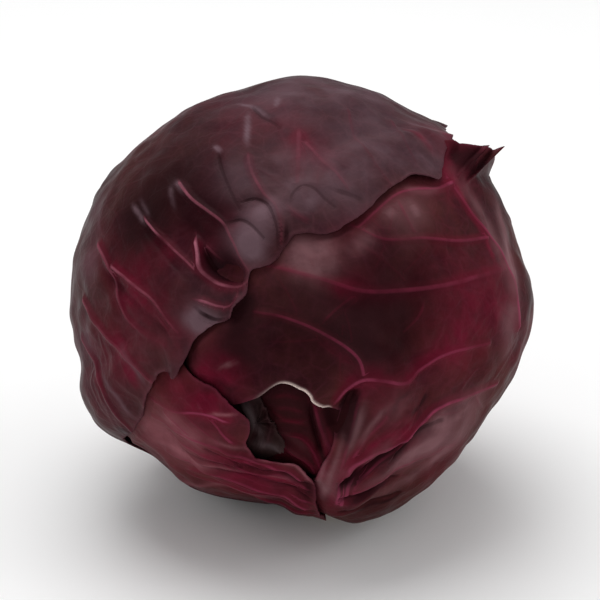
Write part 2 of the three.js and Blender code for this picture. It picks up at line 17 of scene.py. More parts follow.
import bmesh
import bpy
import numpy as np
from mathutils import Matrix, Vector

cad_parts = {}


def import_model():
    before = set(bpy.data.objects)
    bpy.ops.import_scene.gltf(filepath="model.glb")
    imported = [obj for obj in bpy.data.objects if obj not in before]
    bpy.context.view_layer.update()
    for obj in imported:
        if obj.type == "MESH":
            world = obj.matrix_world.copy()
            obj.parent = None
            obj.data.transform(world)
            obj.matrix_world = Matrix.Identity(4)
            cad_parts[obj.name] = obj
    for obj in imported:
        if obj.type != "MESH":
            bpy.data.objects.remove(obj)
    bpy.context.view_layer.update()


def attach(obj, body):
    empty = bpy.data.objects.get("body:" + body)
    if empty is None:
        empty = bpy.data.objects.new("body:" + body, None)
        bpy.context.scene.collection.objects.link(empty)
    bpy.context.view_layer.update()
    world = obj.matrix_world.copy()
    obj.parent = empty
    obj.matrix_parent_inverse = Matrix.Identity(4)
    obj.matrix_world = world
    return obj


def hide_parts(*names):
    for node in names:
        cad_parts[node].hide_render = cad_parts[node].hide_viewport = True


LOG = logging.getLogger("cabbage")
MM = 0.001
BODY = "root"

# A distance in mm where no strand is near, and an offset in widths where there is no line.
FAR, NO_LINE = 99.0, 9.0
# How far a direction leads down before the floor holds its radius.
STEEP = 0.3
# Steps of a curve from one given direction to the next.
CURVE_STEPS = 16
# Distances in mm between the points of veins, side veins and strokes.
ALONG_VEIN, ALONG_SIDE_VEIN, ALONG_STROKE = 0.5, 0.6, 0.8
# Ranges of the side veins' reach and spacing, in spacings, and of their lean forwards.
SIDE_REACH, SIDE_STEP, SIDE_LEAN = (0.9, 1.7), (0.8, 1.3), (0.5, 0.9)
# Strength of every second vein of a fan.
WEAKER = 0.6
# Share of its width that a strand keeps where it has thinned away.
NARROWEST = 0.6
# Where a strand's mark starts to fade beside its line and how far that takes, in widths.
FADE_START, FADE_RUN = 0.8, 1.2
# Points that are held against a margin at one time.
BATCH = 4096

Array = np.ndarray
Point = tuple[float, float]


def unit(vectors: Array) -> Array:
    """Vectors scaled to length one."""
    return vectors / np.linalg.norm(vectors, axis=-1, keepdims=True)


def smooth(x: Array) -> Array:
    """Eased step from 0 to 1 as x goes from 0 to 1."""
    t = np.clip(x, 0.0, 1.0)
    return t * t * (3.0 - 2.0 * t)


def even_curve(values: Array, turn: Array) -> Array:
    """Smooth closed curve through values at even steps of the full turn.

    Args:
        values: Values at even steps, counterclockwise from turn 0.
        turn: Turns in radians.

    Returns:
        The curve's value at each turn.
    """
    n = len(values)
    x = (turn / (2 * pi)) % 1.0 * n
    i = np.floor(x).astype(int)
    t = x - i
    before, here, after, beyond = (values[(i + k) % n] for k in (-1, 0, 1, 2))
    slope_a, slope_b = (after - before) / 2, (beyond - here) / 2
    rise = slope_a * t * (1 - t) ** 2 + slope_b * t * t * (t - 1)
    return here * (1 + 2 * t) * (1 - t) ** 2 + after * t * t * (3 - 2 * t) + rise


@dataclass(frozen=True)
class HeadForm:
    """The bare head under its wrapper leaves: a radius for every direction, in mm."""

    centre: tuple[float, float, float] = (-0.5, -1.5, 80.0)
    tilt: float = radians(24)
    stencil_distance: float = 900.0
    front_depth: float = 78.0
    back_depth: float = 76.0
    arc_radius: float = 80.0
    leaf_cover: float = 4.0
    first_depth: float = 0.6
    passes: int = 12
    stem_lean: tuple[float, float, float] = (0.15, -0.96, -0.23)
    girth: tuple[float, ...] = (
        84.5, 81, 81.5, 83.5, 79.5, 80, 81, 79, 80, 80.5, 82.5, 83,
        83, 82.5, 84, 77, 77.5, 74.5, 74, 83, 82, 80, 80, 82.5,
    )

    def axes(self) -> Array:
        """Rows: across the show face, up it, and out of it."""
        t = self.tilt
        return np.array([[1, 0, 0], [0, sin(t), cos(t)], [0, -cos(t), sin(t)]])

    def heading(self, across: Array, up: Array, out: Array) -> Array:
        """Unit directions from amounts across, up and out of the show face."""
        return unit(np.stack([across, up, out], axis=-1) @ self.axes())

    def stem_axis(self) -> Array:
        """Direction of the stem from the middle of the head."""
        return self.heading(*np.array(self.stem_lean))

    def girth_radius(self, dirs: Array) -> Array:
        """Radius of the head before pockets and leaves.

        Args:
            dirs: Unit directions from the middle of the head.

        Returns:
            The radius in mm in each direction.
        """
        across, up, out = (dirs @ self.axes().T).T
        depth = np.where(out > 0, self.front_depth, self.back_depth)
        ring = even_curve(np.array(self.girth), np.arctan2(up, across))
        return ring * (1 - out**2) + depth * out**2

    def front(self, points: list[Point] | Array) -> Array:
        """Directions of points of the show face, as they project from the viewing side.

        Args:
            points: Places (u, v) across and up the show face, in mm from its middle.

        Returns:
            A unit direction for each point.
        """
        flat = np.asarray(points, dtype=float).reshape(-1, 2)
        out = np.full(len(flat), self.front_depth * self.first_depth)
        dirs = self.heading(flat[:, 0], flat[:, 1], out)
        for _ in range(self.passes):
            near = 1 - out / self.stencil_distance
            radius = self.girth_radius(dirs) + self.leaf_cover
            side = np.hypot(flat[:, 0], flat[:, 1]) * near
            out = np.sqrt(np.maximum(radius**2 - side**2, 1))
            dirs = self.heading(flat[:, 0] * near, flat[:, 1] * near, out)
        return dirs

    def back(self, points: list[Point] | Array) -> Array:
        """Directions of points of the hidden side, mirrored through the rim.

        Args:
            points: Places (u, v) across and up the hidden side, in mm from its middle.

        Returns:
            A unit direction for each point.
        """
        flat = np.asarray(points, dtype=float).reshape(-1, 2) / self.arc_radius
        reach = np.minimum(np.hypot(flat[:, 0], flat[:, 1]), 1)
        return self.heading(flat[:, 0], flat[:, 1], -np.sqrt(1 - reach**2))

    def arc(self, dirs: Array, other: Array) -> Array:
        """Distances in mm over the head from directions to one direction."""
        return self.arc_radius * np.arccos(np.clip(dirs @ other, -1, 1))


HEAD = HeadForm()


class Side(Enum):
    """The side of the head that a point's coordinates are given on."""

    FRONT = "front"
    BACK = "back"


@dataclass(frozen=True)
class Spot:
    """A round swelling, pocket or mark: place and radius in mm, and a height or strength."""

    u: float
    v: float
    radius: float
    strength: float
    side: Side = Side.FRONT

    def direction(self) -> Array:
        """Direction of the spot's middle."""
        place = HEAD.front if self.side is Side.FRONT else HEAD.back
        return place([(self.u, self.v)])[0]


def spots(rows: list[tuple[float, ...]], side: Side = Side.FRONT) -> tuple[Spot, ...]:
    """Spots from rows of (u, v, radius, strength)."""
    return tuple(Spot(*row, side=side) for row in rows)


def spot_field(dirs: Array, marks: tuple[Spot, ...]) -> Array:
    """Sum of the spots' heights or strengths.

    Args:
        dirs: Unit directions from the middle of the head.
        marks: The spots.

    Returns:
        The sum in each direction.
    """
    total = np.zeros(len(dirs))
    for mark in marks:
        total += mark.strength * np.exp(-((HEAD.arc(dirs, mark.direction()) / mark.radius) ** 2))
    return total


def above_floor(dirs: Array, radius: Array, gap: float) -> Array:
    """Radius cut so that nothing comes nearer to the floor than the gap.

    Args:
        dirs: Unit directions from the middle of the head.
        radius: Radius in mm in each direction.
        gap: Height over the floor that stays free, in mm.

    Returns:
        The radius, less where a direction leads steeply down.
    """
    drop = -dirs[:, 2]
    level = (HEAD.centre[2] - gap) / np.maximum(drop, STEEP)
    return np.where(drop > STEEP, np.minimum(radius, level), radius)


def crumple(dirs: Array, wavelength: float, seed: int, waves: int = 20) -> Array:
    """Smooth unevenness of about unit height, from seeded waves through the head.

    Args:
        dirs: Directions from the middle of the head.
        wavelength: Typical distance between two rises, in mm.
        seed: Seed of the random draw.
        waves: How many waves are added up.

    Returns:
        One value for each direction, mostly between -1 and 1.
    """
    rng = np.random.default_rng(seed)
    numbers = unit(rng.normal(size=(waves, 3))) * rng.uniform(0.7, 1.4, (waves, 1))
    numbers *= 2 * pi * HEAD.arc_radius / wavelength
    phases = rng.uniform(0, 2 * pi, waves)
    return np.cos(dirs @ numbers.T + phases).sum(axis=1) / np.sqrt(waves)


def curve_through(dirs: Array, step: float) -> Array:
    """Smooth curve through the given directions.

    Args:
        dirs: Unit directions, in order.
        step: Distance over the head between two points of the curve, in mm.

    Returns:
        Unit directions that far apart along the curve.
    """
    padded = np.vstack([2 * dirs[0] - dirs[1], dirs, 2 * dirs[-1] - dirs[-2]])
    t = np.linspace(0, 1, CURVE_STEPS, endpoint=False)[:, None]
    pieces = []
    for a, b, c, d in zip(padded, padded[1:], padded[2:], padded[3:]):
        bend = 2 * a - 5 * b + 4 * c - d
        twist = 3 * b - a - 3 * c + d
        pieces.append(b + 0.5 * ((c - a) * t + bend * t**2 + twist * t**3))
    fine = unit(np.vstack([*pieces, dirs[-1:]]))
    gaps = np.linalg.norm(np.diff(fine, axis=0), axis=1) * HEAD.arc_radius
    along = np.concatenate([[0], np.cumsum(gaps)])
    even = np.linspace(0, along[-1], max(4, int(along[-1] / step)))
    return unit(np.stack([np.interp(even, along, fine[:, k]) for k in range(3)], axis=1))


@dataclass(frozen=True)
class Strand:
    """A line of closely spaced directions with a height, half width, tint and shade.

    It loses the share taper of them towards its end, and starts at the share tip of them.
    """

    line: Array
    height: float
    width: float
    tint: float
    shade: float
    taper: float = 0.55
    tip: float = 0.15
    tip_run: float = 8.0

    def swell(self, nearest: Array) -> Array:
        """Share of the full height that is left at points of the line.

        Args:
            nearest: Numbers of the points, counted from the thick end.

        Returns:
            The share at each point.
        """
        start = np.minimum(1, self.tip + nearest / self.tip_run)
        return (1 - self.taper * nearest / len(self.line)) * start


@dataclass(frozen=True)
class Vein:
    """A rib, vein, fold or groove along a path, with side veins by rule.

    The path starts at the thick end. Points of the hidden side come before those of the show
    face. A height below zero makes a groove. Spacing is the distance between side veins, which
    leave bare_end mm free at both ends and have side_height and side_tint times the vein's own.
    """

    height: float
    path: tuple[Point, ...] = ()
    hidden: tuple[Point, ...] = ()
    width: float = 1.4
    tint: float = 0.5
    # Strength of the painted shade along the vein, mostly in grooves.
    shade: float = 0.0
    spacing: float = 0.0
    bare_end: float = 6.0
    side_height: float = 0.25
    side_width: float = 1.0
    side_tint: float = 0.14

    def strands(self, rng: np.random.Generator) -> list[Strand]:
        """The vein's own strand and those of its side veins.

        Args:
            rng: Random generator that varies the side veins.

        Returns:
            The strands, the vein's own first.
        """
        ends = [HEAD.back(self.hidden)] if self.hidden else []
        ends += [HEAD.front(self.path)] if self.path else []
        line = curve_through(np.vstack(ends), ALONG_VEIN)
        made = [Strand(line, self.height, self.width, self.tint, self.shade)]
        if not self.spacing:
            return made
        at, hand = self.bare_end, 1
        while at < len(line) * ALONG_VEIN - self.bare_end:
            k = int(at / ALONG_VEIN)
            ahead = unit(line[k + 2] - line[k])
            aside = np.cross(line[k], ahead) * hand
            reach = rng.uniform(*SIDE_REACH) * self.spacing / HEAD.arc_radius
            lean = rng.uniform(*SIDE_LEAN)
            bends = [0.0, 0.35, 0.7, 1.0]
            path = [line[k] + reach * b * (aside + ahead * (lean + 0.5 * b)) for b in bends]
            side_line = curve_through(unit(np.array(path)), ALONG_SIDE_VEIN)
            height, tint = self.height * self.side_height, self.tint * self.side_tint
            made.append(Strand(side_line, height, self.side_width, tint, 0.0))
            at += self.spacing * rng.uniform(*SIDE_STEP)
            hand = -hand
        return made


@dataclass
class Mark:
    """The strongest strand at each point: its strength and the signed offset in its widths."""

    strength: Array
    offset: Array

    def add(self, strength: Array, offset: Array) -> None:
        """Takes over another strand's values where it is stronger.

        Args:
            strength: The other strand's strength at each point.
            offset: Signed distance from it at each point, in its widths.
        """
        stronger = strength > self.strength
        self.strength = np.where(stronger, strength, self.strength)
        self.offset = np.where(stronger, offset, self.offset)


@dataclass(frozen=True)
class Relief:
    """What the strands do to a surface: height and nearest strand in mm, veins and creases."""

    height: Array
    near: Array
    veins: Mark
    # Painted shade along the grooves.
    creases: Mark


def relief_of(dirs: Array, strands: list[Strand]) -> Relief:
    """Adds up the strands over a surface.

    Args:
        dirs: Directions of the surface's points.
        strands: The strands of the leaf.

    Returns:
        The relief at each point.
    """
    flat = dirs.astype(np.float32)
    ridge, groove = np.zeros(len(dirs)), np.zeros(len(dirs))
    near = np.full(len(dirs), FAR)
    veins, creases = (Mark(np.zeros(len(dirs)), np.full(len(dirs), NO_LINE)) for _ in range(2))
    for strand in strands:
        line = strand.line
        dots = flat @ line.T.astype(np.float32)
        best = dots.argmax(axis=1)
        away = HEAD.arc_radius * np.arccos(np.clip(dots[np.arange(len(flat)), best], -1, 1))
        thin = strand.swell(best)
        width = strand.width * (NARROWEST + (1 - NARROWEST) * thin)
        bell = np.exp(-((away / width) ** 2)) * thin
        aside = unit(np.cross(line, np.gradient(line, axis=0)))[best]
        offset = HEAD.arc_radius * (dirs * aside).sum(axis=1) / width
        window = thin * (1 - smooth((away / width - FADE_START) / FADE_RUN))
        if strand.height > 0:
            ridge = np.maximum(ridge, strand.height * bell)
            near = np.minimum(near, away)
        else:
            groove = np.minimum(groove, strand.height * bell)
        veins.add(strand.tint * window, offset)
        creases.add(strand.shade * window, offset)
    return Relief(ridge + groove, near, veins, creases)


@dataclass(frozen=True)
class Stroke:
    """A soft band along a line: its half width in mm and how much it adds to three marks."""

    path: tuple[Point, ...]
    width: float
    glow: float = 0.0
    # Strength of the painted shade: hollows, grooves and shaded zones made darker.
    painted_shade: float = 0.0
    # Strength of the grey waxy coat, which also paints sheen and highlights.
    bloom_and_sheen: float = 0.0
    fade: float = 0.25

    def band(self, dirs: Array) -> Array:
        """Strength of the stroke: 1 on the line, less beside it and towards its ends.

        Args:
            dirs: Unit directions from the middle of the head.

        Returns:
            The strength in each direction.
        """
        line = curve_through(HEAD.front(self.path), ALONG_STROKE).astype(np.float32)
        dots = dirs.astype(np.float32) @ line.T
        best = dots.argmax(axis=1)
        away = HEAD.arc_radius * np.arccos(np.clip(dots[np.arange(len(dirs)), best], -1, 1))
        to_end = np.minimum(best, len(line) - 1 - best) / len(line)
        ends = self.fade + (1 - self.fade) * smooth(to_end / self.fade)
        return np.exp(-((away / self.width) ** 2)) * ends


def fan(first: Vein, last: Vein, count: int) -> tuple[Vein, ...]:
    """Veins spread evenly between two others whose paths have as many points.

    Args:
        first: The vein on one side.
        last: The vein on the other side.
        count: How many veins lie between them.

    Returns:
        The veins in between, weaker in turn.
    """
    made = []
    for k in range(1, count + 1):
        share = k / (count + 1)
        between = np.array(first.path) * (1 - share) + np.array(last.path) * share
        path = tuple((u, v) for u, v in between.tolist())
        weaker = 1.0 if k % 2 else WEAKER
        tint, shade = first.tint * weaker, first.shade * weaker
        made.append(Vein(first.height * weaker, path, width=first.width, tint=tint, shade=shade))
    return tuple(made)


class Outline:
    """Reach of a leaf from its middle at any turn, through the outline's points."""

    STEPS = 3600
    RAGS = (31, 47, 68, 97, 139, 211)
    RAG_DEPTH = 2.2

    def __init__(self, turns: Array, reaches: Array) -> None:
        """Fits a closed curve that never overshoots its points.

        Args:
            turns: Turn of each outline point, in radians.
            reaches: Reach of each outline point, in mm.
        """
        order = np.argsort(turns)
        x, y = turns[order], reaches[order]
        step = np.diff(np.append(x, x[0] + 2 * pi))
        rise = np.diff(np.append(y, y[0])) / step
        back = np.roll(rise, 1)
        same = rise * back > 0
        slope = np.where(same, 2 * rise * back / np.where(same, rise + back, 1), 0)
        self.turns = np.linspace(0, 2 * pi, self.STEPS + 1)
        shifted = (self.turns - x[0]) % (2 * pi)
        k = np.searchsorted(x - x[0], shifted, side="right") - 1
        ahead = (k + 1) % len(x)
        t = (shifted - (x[k] - x[0])) / step[k]
        self.reaches = (
            y[k] * (1 + 2 * t) * (1 - t) ** 2
            + slope[k] * step[k] * t * (1 - t) ** 2
            + y[ahead] * t * t * (3 - 2 * t)
            + slope[ahead] * step[k] * t * t * (t - 1)
        )

    def reach(self, turn: Array) -> Array:
        """Reach at these turns."""
        return np.interp(turn % (2 * pi), self.turns, self.reaches)

    def clasp(self, turn: float, distance: float, radius: float) -> None:
        """Stops the outline at a round stem.

        Args:
            turn: Turn at which the stem stands, in radians.
            distance: Its distance from the leaf's middle, in mm.
            radius: Radius that is kept free round its axis, in mm.
        """
        off = self.turns - turn
        miss = distance * np.sin(off)
        hits = (np.abs(miss) < radius) & (np.cos(off) > 0)
        half = np.sqrt(np.maximum(radius**2 - miss**2, 0))
        limit = distance * np.cos(off) - half
        self.reaches = np.where(hits, np.minimum(self.reaches, limit), self.reaches)

    def roughen(self, amount: Array, seed: int) -> None:
        """Cuts a fine ragged margin.

        Args:
            amount: About how deep the cuts are at each turn, in mm.
            seed: Seed of the random draw.
        """
        rng = np.random.default_rng(seed)
        cut = np.zeros(self.STEPS + 1)
        for count in self.RAGS:
            cut += np.sin(count * self.turns + rng.uniform(0, 2 * pi)) / count**0.5
        self.reaches = self.reaches + amount * (cut - cut.max()) * self.RAG_DEPTH

    def spoke(self, share: Array) -> Array:
        """Turns of points along the margin.

        Args:
            share: Share of the margin's length before each point, 0 to 1.

        Returns:
            The turn of each point, in radians.
        """
        x, y = self.reaches * np.cos(self.turns), self.reaches * np.sin(self.turns)
        along = np.concatenate([[0], np.cumsum(np.hypot(np.diff(x), np.diff(y)))])
        return np.interp(share, along / along[-1], self.turns)


@dataclass(frozen=True)
class Waves:
    """Folds of a margin: their count round the leaf, height and run inwards, in mm."""

    count: int
    height: float
    run: float


@dataclass(frozen=True)
class Roll:
    """A stretch of margin that curls outwards: place, half spread in radians, size in mm."""

    at: Point
    spread: float
    length: float
    radius: float


@dataclass(frozen=True)
class Tear:
    """A stretch of torn margin: place, half spread in radians, width of pale tissue in mm.

    It is at full strength over the share full of its spread, and fades over the share fade.
    """

    at: Point
    spread: float
    width: float
    full: float = 0.7
    fade: float = 0.3


class Graph:
    """Adds nodes to a node tree and joins them."""

    # The sockets of a Mix node that take and give colours.
    MIX_IN = (0, 6, 7)
    MIX_OUT = 2

    def __init__(self, tree: bpy.types.NodeTree) -> None:
        """Works on that tree."""
        self.tree = tree

    def add(self, kind: str, **settings: object) -> bpy.types.Node:
        """Adds a node.

        Args:
            kind: The node's type.
            **settings: Values for its properties.

        Returns:
            The new node.
        """
        node = self.tree.nodes.new(kind)
        for name, value in settings.items():
            setattr(node, name, value)
        return node

    def feed(self, target: bpy.types.NodeSocket, source: object) -> None:
        """Sets an input to a value, or joins it to another node's output.

        Args:
            target: The input.
            source: A value or an output.
        """
        if isinstance(source, bpy.types.NodeSocket):
            self.tree.links.new(source, target)
        else:
            target.default_value = source

    def math(self, operation: str, *values: object, clamp: bool = False) -> bpy.types.NodeSocket:
        """Adds a Math node.

        Args:
            operation: What it does.
            *values: Its inputs, each a value or an output.
            clamp: Whether the result is kept between 0 and 1.

        Returns:
            The result.
        """
        node = self.add("ShaderNodeMath", operation=operation, use_clamp=clamp)
        for socket, value in zip(node.inputs, values):
            self.feed(socket, value)
        return node.outputs[0]

    def mix(self, share: object, low: object, high: object) -> bpy.types.NodeSocket:
        """Mixes two colours.

        Args:
            share: How much of high is in the result, 0 to 1.
            low: Colour at share 0.
            high: Colour at share 1.

        Returns:
            The mixed colour.
        """
        node = self.add("ShaderNodeMix", data_type="RGBA")
        for socket, value in zip(self.MIX_IN, (share, low, high)):
            self.feed(node.inputs[socket], value)
        return node.outputs[self.MIX_OUT]

    def span(self, value: object, low: float, high: float) -> bpy.types.NodeSocket:
        """Eases a value into a mask.

        Args:
            value: The value.
            low: Where the mask is 0.
            high: Where it is 1.

        Returns:
            The mask.
        """
        node = self.add("ShaderNodeMapRange", interpolation_type="SMOOTHSTEP")
        for socket, setting in zip(node.inputs, (value, low, high, 0.0, 1.0)):
            self.feed(socket, setting)
        return node.outputs[0]

    def noise(self, place: object, scale: float, detail: float = 3.0) -> bpy.types.NodeSocket:
        """Adds a noise.

        Args:
            place: Where it is read.
            scale: Its repeats in a metre.
            detail: How many finer layers it has.

        Returns:
            The noise, about 0.5 on average.
        """
        node = self.add("ShaderNodeTexNoise")
        self.feed(node.inputs["Vector"], place)
        self.feed(node.inputs["Scale"], scale)
        self.feed(node.inputs["Detail"], detail)
        return node.outputs[0]

    def cells(self, place: object, scale: float, width: float) -> bpy.types.NodeSocket:
        """Draws the lines between cells.

        Args:
            place: Where they are read.
            scale: Cells in a metre.
            width: Where a line ends, as a share of a cell.

        Returns:
            A mask, 1 on the lines.
        """
        node = self.add("ShaderNodeTexVoronoi", feature="DISTANCE_TO_EDGE")
        self.feed(node.inputs["Vector"], place)
        self.feed(node.inputs["Scale"], scale)
        return self.math("SUBTRACT", 1.0, self.span(node.outputs[0], 0.0, width))

    def thread(self, strength: object, offset: object, width: float) -> bpy.types.NodeSocket:
        """Draws a thin line where an offset passes through 0.

        Args:
            strength: Strength of the line.
            offset: The offset.
            width: Offset at which the line ends.

        Returns:
            The line's mask.
        """
        away = self.math("ABSOLUTE", offset)
        line = self.math("SUBTRACT", 1.0, self.span(away, width * 0.3, width))
        return self.math("MULTIPLY", line, strength)

    def place(self) -> bpy.types.NodeSocket:
        """The object's own coordinates, in metres."""
        return self.add("ShaderNodeTexCoord").outputs["Object"]

    def bump(self, strength: float, distance: float, height: object) -> bpy.types.NodeSocket:
        """Raises a surface by a height.

        Args:
            strength: How much of the height tells.
            distance: Height in metres that 1 stands for.
            height: The height.

        Returns:
            The raised surface's normal.
        """
        node = self.add("ShaderNodeBump")
        for name, value in zip(("Strength", "Distance", "Height"), (strength, distance, height)):
            self.feed(node.inputs[name], value)
        return node.outputs["Normal"]


# Marks a leaf carries, among them painted shade and a waxy coat that also paints sheen.
MARKS = (
    "vein", "vein_offset", "crease", "crease_offset", "glow", "painted_shade", "bloom_and_sheen", "torn", "rim",
)
# The fifth colour is painted shade; the sixth, of a waxy coat, also paints sheen.
TISSUE_COLOURS = ("Dark", "Warm", "Vein", "Glow", "Shade_Colour", "Wax_And_Sheen", "Pale")

# How often each pattern of the tissue repeats in a metre.
BLOTCHES, RUBBING, GAPS, DRIFT, FRECKLES, PITS = 26.0, 48.0, 70.0, 90.0, 150.0, 420.0
NET, FINE_NET = 115.0, 330.0
# How far the nets drift, in metres.
DRIFT_REACH = 0.006


def tissue_tree() -> bpy.types.NodeTree:
    """The sockets of the node group of leaf tissue.

    Returns:
        A group with an input for each name in TISSUE_COLOURS and in MARKS, and no nodes.
    """
    tree = bpy.data.node_groups.new("leaf_tissue", "ShaderNodeTree")
    for name in TISSUE_COLOURS:
        tree.interface.new_socket(name, in_out="INPUT", socket_type="NodeSocketColor")
    for name in (*MARKS, "Gloss"):
        tree.interface.new_socket(name, in_out="INPUT", socket_type="NodeSocketFloat")
    for name, kind in (("Color", "Color"), ("Roughness", "Float"), ("Height", "Float")):
        tree.interface.new_socket(name, in_out="OUTPUT", socket_type=f"NodeSocket{kind}")
    return tree


def drifted(graph: Graph, place: object) -> bpy.types.NodeSocket:
    """Lets a place wander a little, so that nets read there have no straight lines.

    Args:
        graph: The nodes to add to.
        place: The place.

    Returns:
        The place that is read instead.
    """
    drift = graph.add("ShaderNodeTexNoise")
    graph.feed(drift.inputs["Vector"], place)
    graph.feed(drift.inputs["Scale"], DRIFT)
    bend = graph.add("ShaderNodeVectorMath", operation="MULTIPLY_ADD")
    for socket, value in zip(bend.inputs, (drift.outputs["Color"], (DRIFT_REACH,) * 3, place)):
        graph.feed(socket, value)
    return bend.outputs[0]


def tissue_group() -> bpy.types.NodeTree:
    """Node group of leaf tissue: mottled colour, fine veins, wax and painted sheen, relief.

    Returns:
        The group, with a colour for each name in TISSUE_COLOURS and a mask for each in MARKS.
    """
    tree = tissue_tree()
    graph = Graph(tree)
    given = graph.add("NodeGroupInput").outputs
    result = graph.add("NodeGroupOutput").inputs

    place = graph.place()
    bent = drifted(graph, place)
    large = graph.span(graph.noise(place, BLOTCHES, 4.0), 0.36, 0.66)
    small = graph.span(graph.noise(place, FRECKLES, 5.0), 0.3, 0.7)
    broken = graph.span(graph.noise(place, GAPS, 3.0), 0.3, 0.58)
    nets = graph.cells(bent, NET, 0.1)
    mesh = graph.cells(bent, FINE_NET, 0.16)

    mottled = graph.math("MULTIPLY_ADD", large, 0.75, graph.math("MULTIPLY", small, 0.35))
    colour = graph.mix(mottled, given["Dark"], given["Warm"])
    redness = graph.math("MULTIPLY", given["glow"], graph.math("MULTIPLY_ADD", small, 0.5, 0.6))
    colour = graph.mix(graph.math("MINIMUM", redness, 1.0), colour, given["Glow"])
    fine = graph.math("MULTIPLY_ADD", nets, 0.03, graph.math("MULTIPLY", mesh, 0.02))
    colour = graph.mix(fine, colour, given["Vein"])
    colour = graph.mix(graph.math("MULTIPLY", given["vein"], 0.75), colour, given["Glow"])
    # Painted shade: creases and shaded hollows mixed towards the colour of shade.
    darker = graph.math("MULTIPLY_ADD", given["crease"], 0.5, given["painted_shade"])
    colour = graph.mix(graph.math("MINIMUM", darker, 0.85), colour, given["Shade_Colour"])
    # Grey waxy coat, rubbed thin in places; it also paints sheen and highlights.
    rubbed = graph.span(graph.noise(place, RUBBING, 6.0), 0.34, 0.62)
    worn = graph.math("MULTIPLY_ADD", rubbed, 0.65, 0.35)
    coat_and_sheen = graph.math("MINIMUM", graph.math("MULTIPLY", given["bloom_and_sheen"], worn), 0.9)
    colour = graph.mix(coat_and_sheen, colour, given["Wax_And_Sheen"])
    veins = graph.thread(given["vein"], given["vein_offset"], 0.62)
    pale = graph.mix(given["vein"], given["Glow"], given["Vein"])
    uneven = graph.math("MULTIPLY", graph.math("MULTIPLY_ADD", small, 0.4, 0.7), broken)
    veins = graph.math("MULTIPLY", veins, graph.math("ADD", uneven, 0.15), clamp=True)
    colour = graph.mix(veins, colour, pale)
    # Painted shade: a thin dark line along each groove.
    creases = graph.thread(given["crease"], given["crease_offset"], 0.8)
    colour = graph.mix(creases, colour, given["Shade_Colour"])
    colour = graph.mix(graph.math("MULTIPLY", given["rim"], 0.12), colour, given["Vein"])
    colour = graph.mix(given["torn"], colour, given["Pale"])

    rough = graph.math("MULTIPLY_ADD", coat_and_sheen, 0.16, given["Gloss"])
    rough = graph.math("MULTIPLY_ADD", small, 0.1, rough)
    height = graph.math("MULTIPLY_ADD", nets, 0.18, graph.math("MULTIPLY", mesh, 0.1))
    height = graph.math("MULTIPLY_ADD", graph.noise(place, PITS, 4.0), 0.35, height)
    height = graph.math("MULTIPLY_ADD", small, 0.3, height)
    height = graph.math("MULTIPLY_ADD", veins, 1.2, height)
    height = graph.math("MULTIPLY_ADD", creases, -1.2, height)
    graph.feed(result["Color"], colour)
    graph.feed(result["Roughness"], rough)
    graph.feed(result["Height"], height)
    return tree


def linear(colour: str) -> tuple[float, float, float, float]:
    """Linear colour with alpha 1 from a six-digit hex code."""
    parts = [int(colour[k : k + 2], 16) / 255 for k in (0, 2, 4)]
    return (*(p / 12.92 if p <= 0.04045 else ((p + 0.055) / 1.055) ** 2.4 for p in parts), 1.0)


def new_material(name: str) -> tuple[bpy.types.Material, Graph, bpy.types.Node]:
    """A new material with nodes.

    Args:
        name: The material's name.

    Returns:
        The material, the graph of its nodes and its shader.
    """
    made = bpy.data.materials.new(name)
    made.use_nodes = True
    return made, Graph(made.node_tree), made.node_tree.nodes["Principled BSDF"]


@dataclass(frozen=True)
class LeafFinish:
    """Colours and gloss of a leaf's tissue."""

    name: str
    dark: str = "2a0c11"
    warm: str = "3b1719"
    vein: str = "9a4460"
    glow: str = "600e24"
    # Colour of the painted shade in creases, hollows and shaded zones.
    deep: str = "1b0508"
    # Colour of the grey waxy coat, which also paints sheen and highlights.
    wax_and_sheen: str = "7c575c"
    pale: str = "d8c4bc"
    gloss: float = 0.34
    sheen: float = 0.01
    relief: float = 0.5
    relief_depth: float = 0.0005

    def material(self, tissue: bpy.types.NodeTree) -> bpy.types.Material:
        """The leaf's material.

        Args:
            tissue: The shared node group of leaf tissue.

        Returns:
            A new material that reads the leaf's marks.
        """
        made, graph, shader = new_material(self.name)
        group = graph.add("ShaderNodeGroup", node_tree=tissue)
        tones = (self.dark, self.warm, self.vein, self.glow, self.deep, self.wax_and_sheen, self.pale)
        for socket, tone in zip(TISSUE_COLOURS, tones):
            graph.feed(group.inputs[socket], linear(tone))
        for mark in MARKS:
            reader = graph.add("ShaderNodeAttribute", attribute_name=mark)
            graph.feed(group.inputs[mark], reader.outputs["Fac"])
        graph.feed(group.inputs["Gloss"], self.gloss)
        normal = graph.bump(self.relief, self.relief_depth, group.outputs["Height"])
        graph.feed(shader.inputs["Base Color"], group.outputs["Color"])
        graph.feed(shader.inputs["Roughness"], group.outputs["Roughness"])
        graph.feed(shader.inputs["Normal"], normal)
        graph.feed(shader.inputs["Specular IOR Level"], self.sheen)
        return made


def mesh_object(
    name: str, corners: Array, faces: list[list[int]], marks: dict[str, Array]
) -> bpy.types.Object:
    """A smooth-shaded mesh object with a float attribute for each mark.

    Args:
        name: Name of the object and its mesh.
        corners: Positions in mm.
        faces: Corner numbers of each face.
        marks: A value for each corner, by attribute name.

    Returns:
        The object, linked to the scene.
    """
    mesh = bpy.data.meshes.new(name)
    mesh.from_pydata((corners * MM).tolist(), [], faces)
    for mark, values in marks.items():
        layer = mesh.attributes.new(mark, "FLOAT", "POINT")
        layer.data.foreach_set("value", values.astype(np.float32))
    mesh.shade_smooth()
    made = bpy.data.objects.new(name, mesh)
    bpy.context.scene.collection.objects.link(made)
    return made


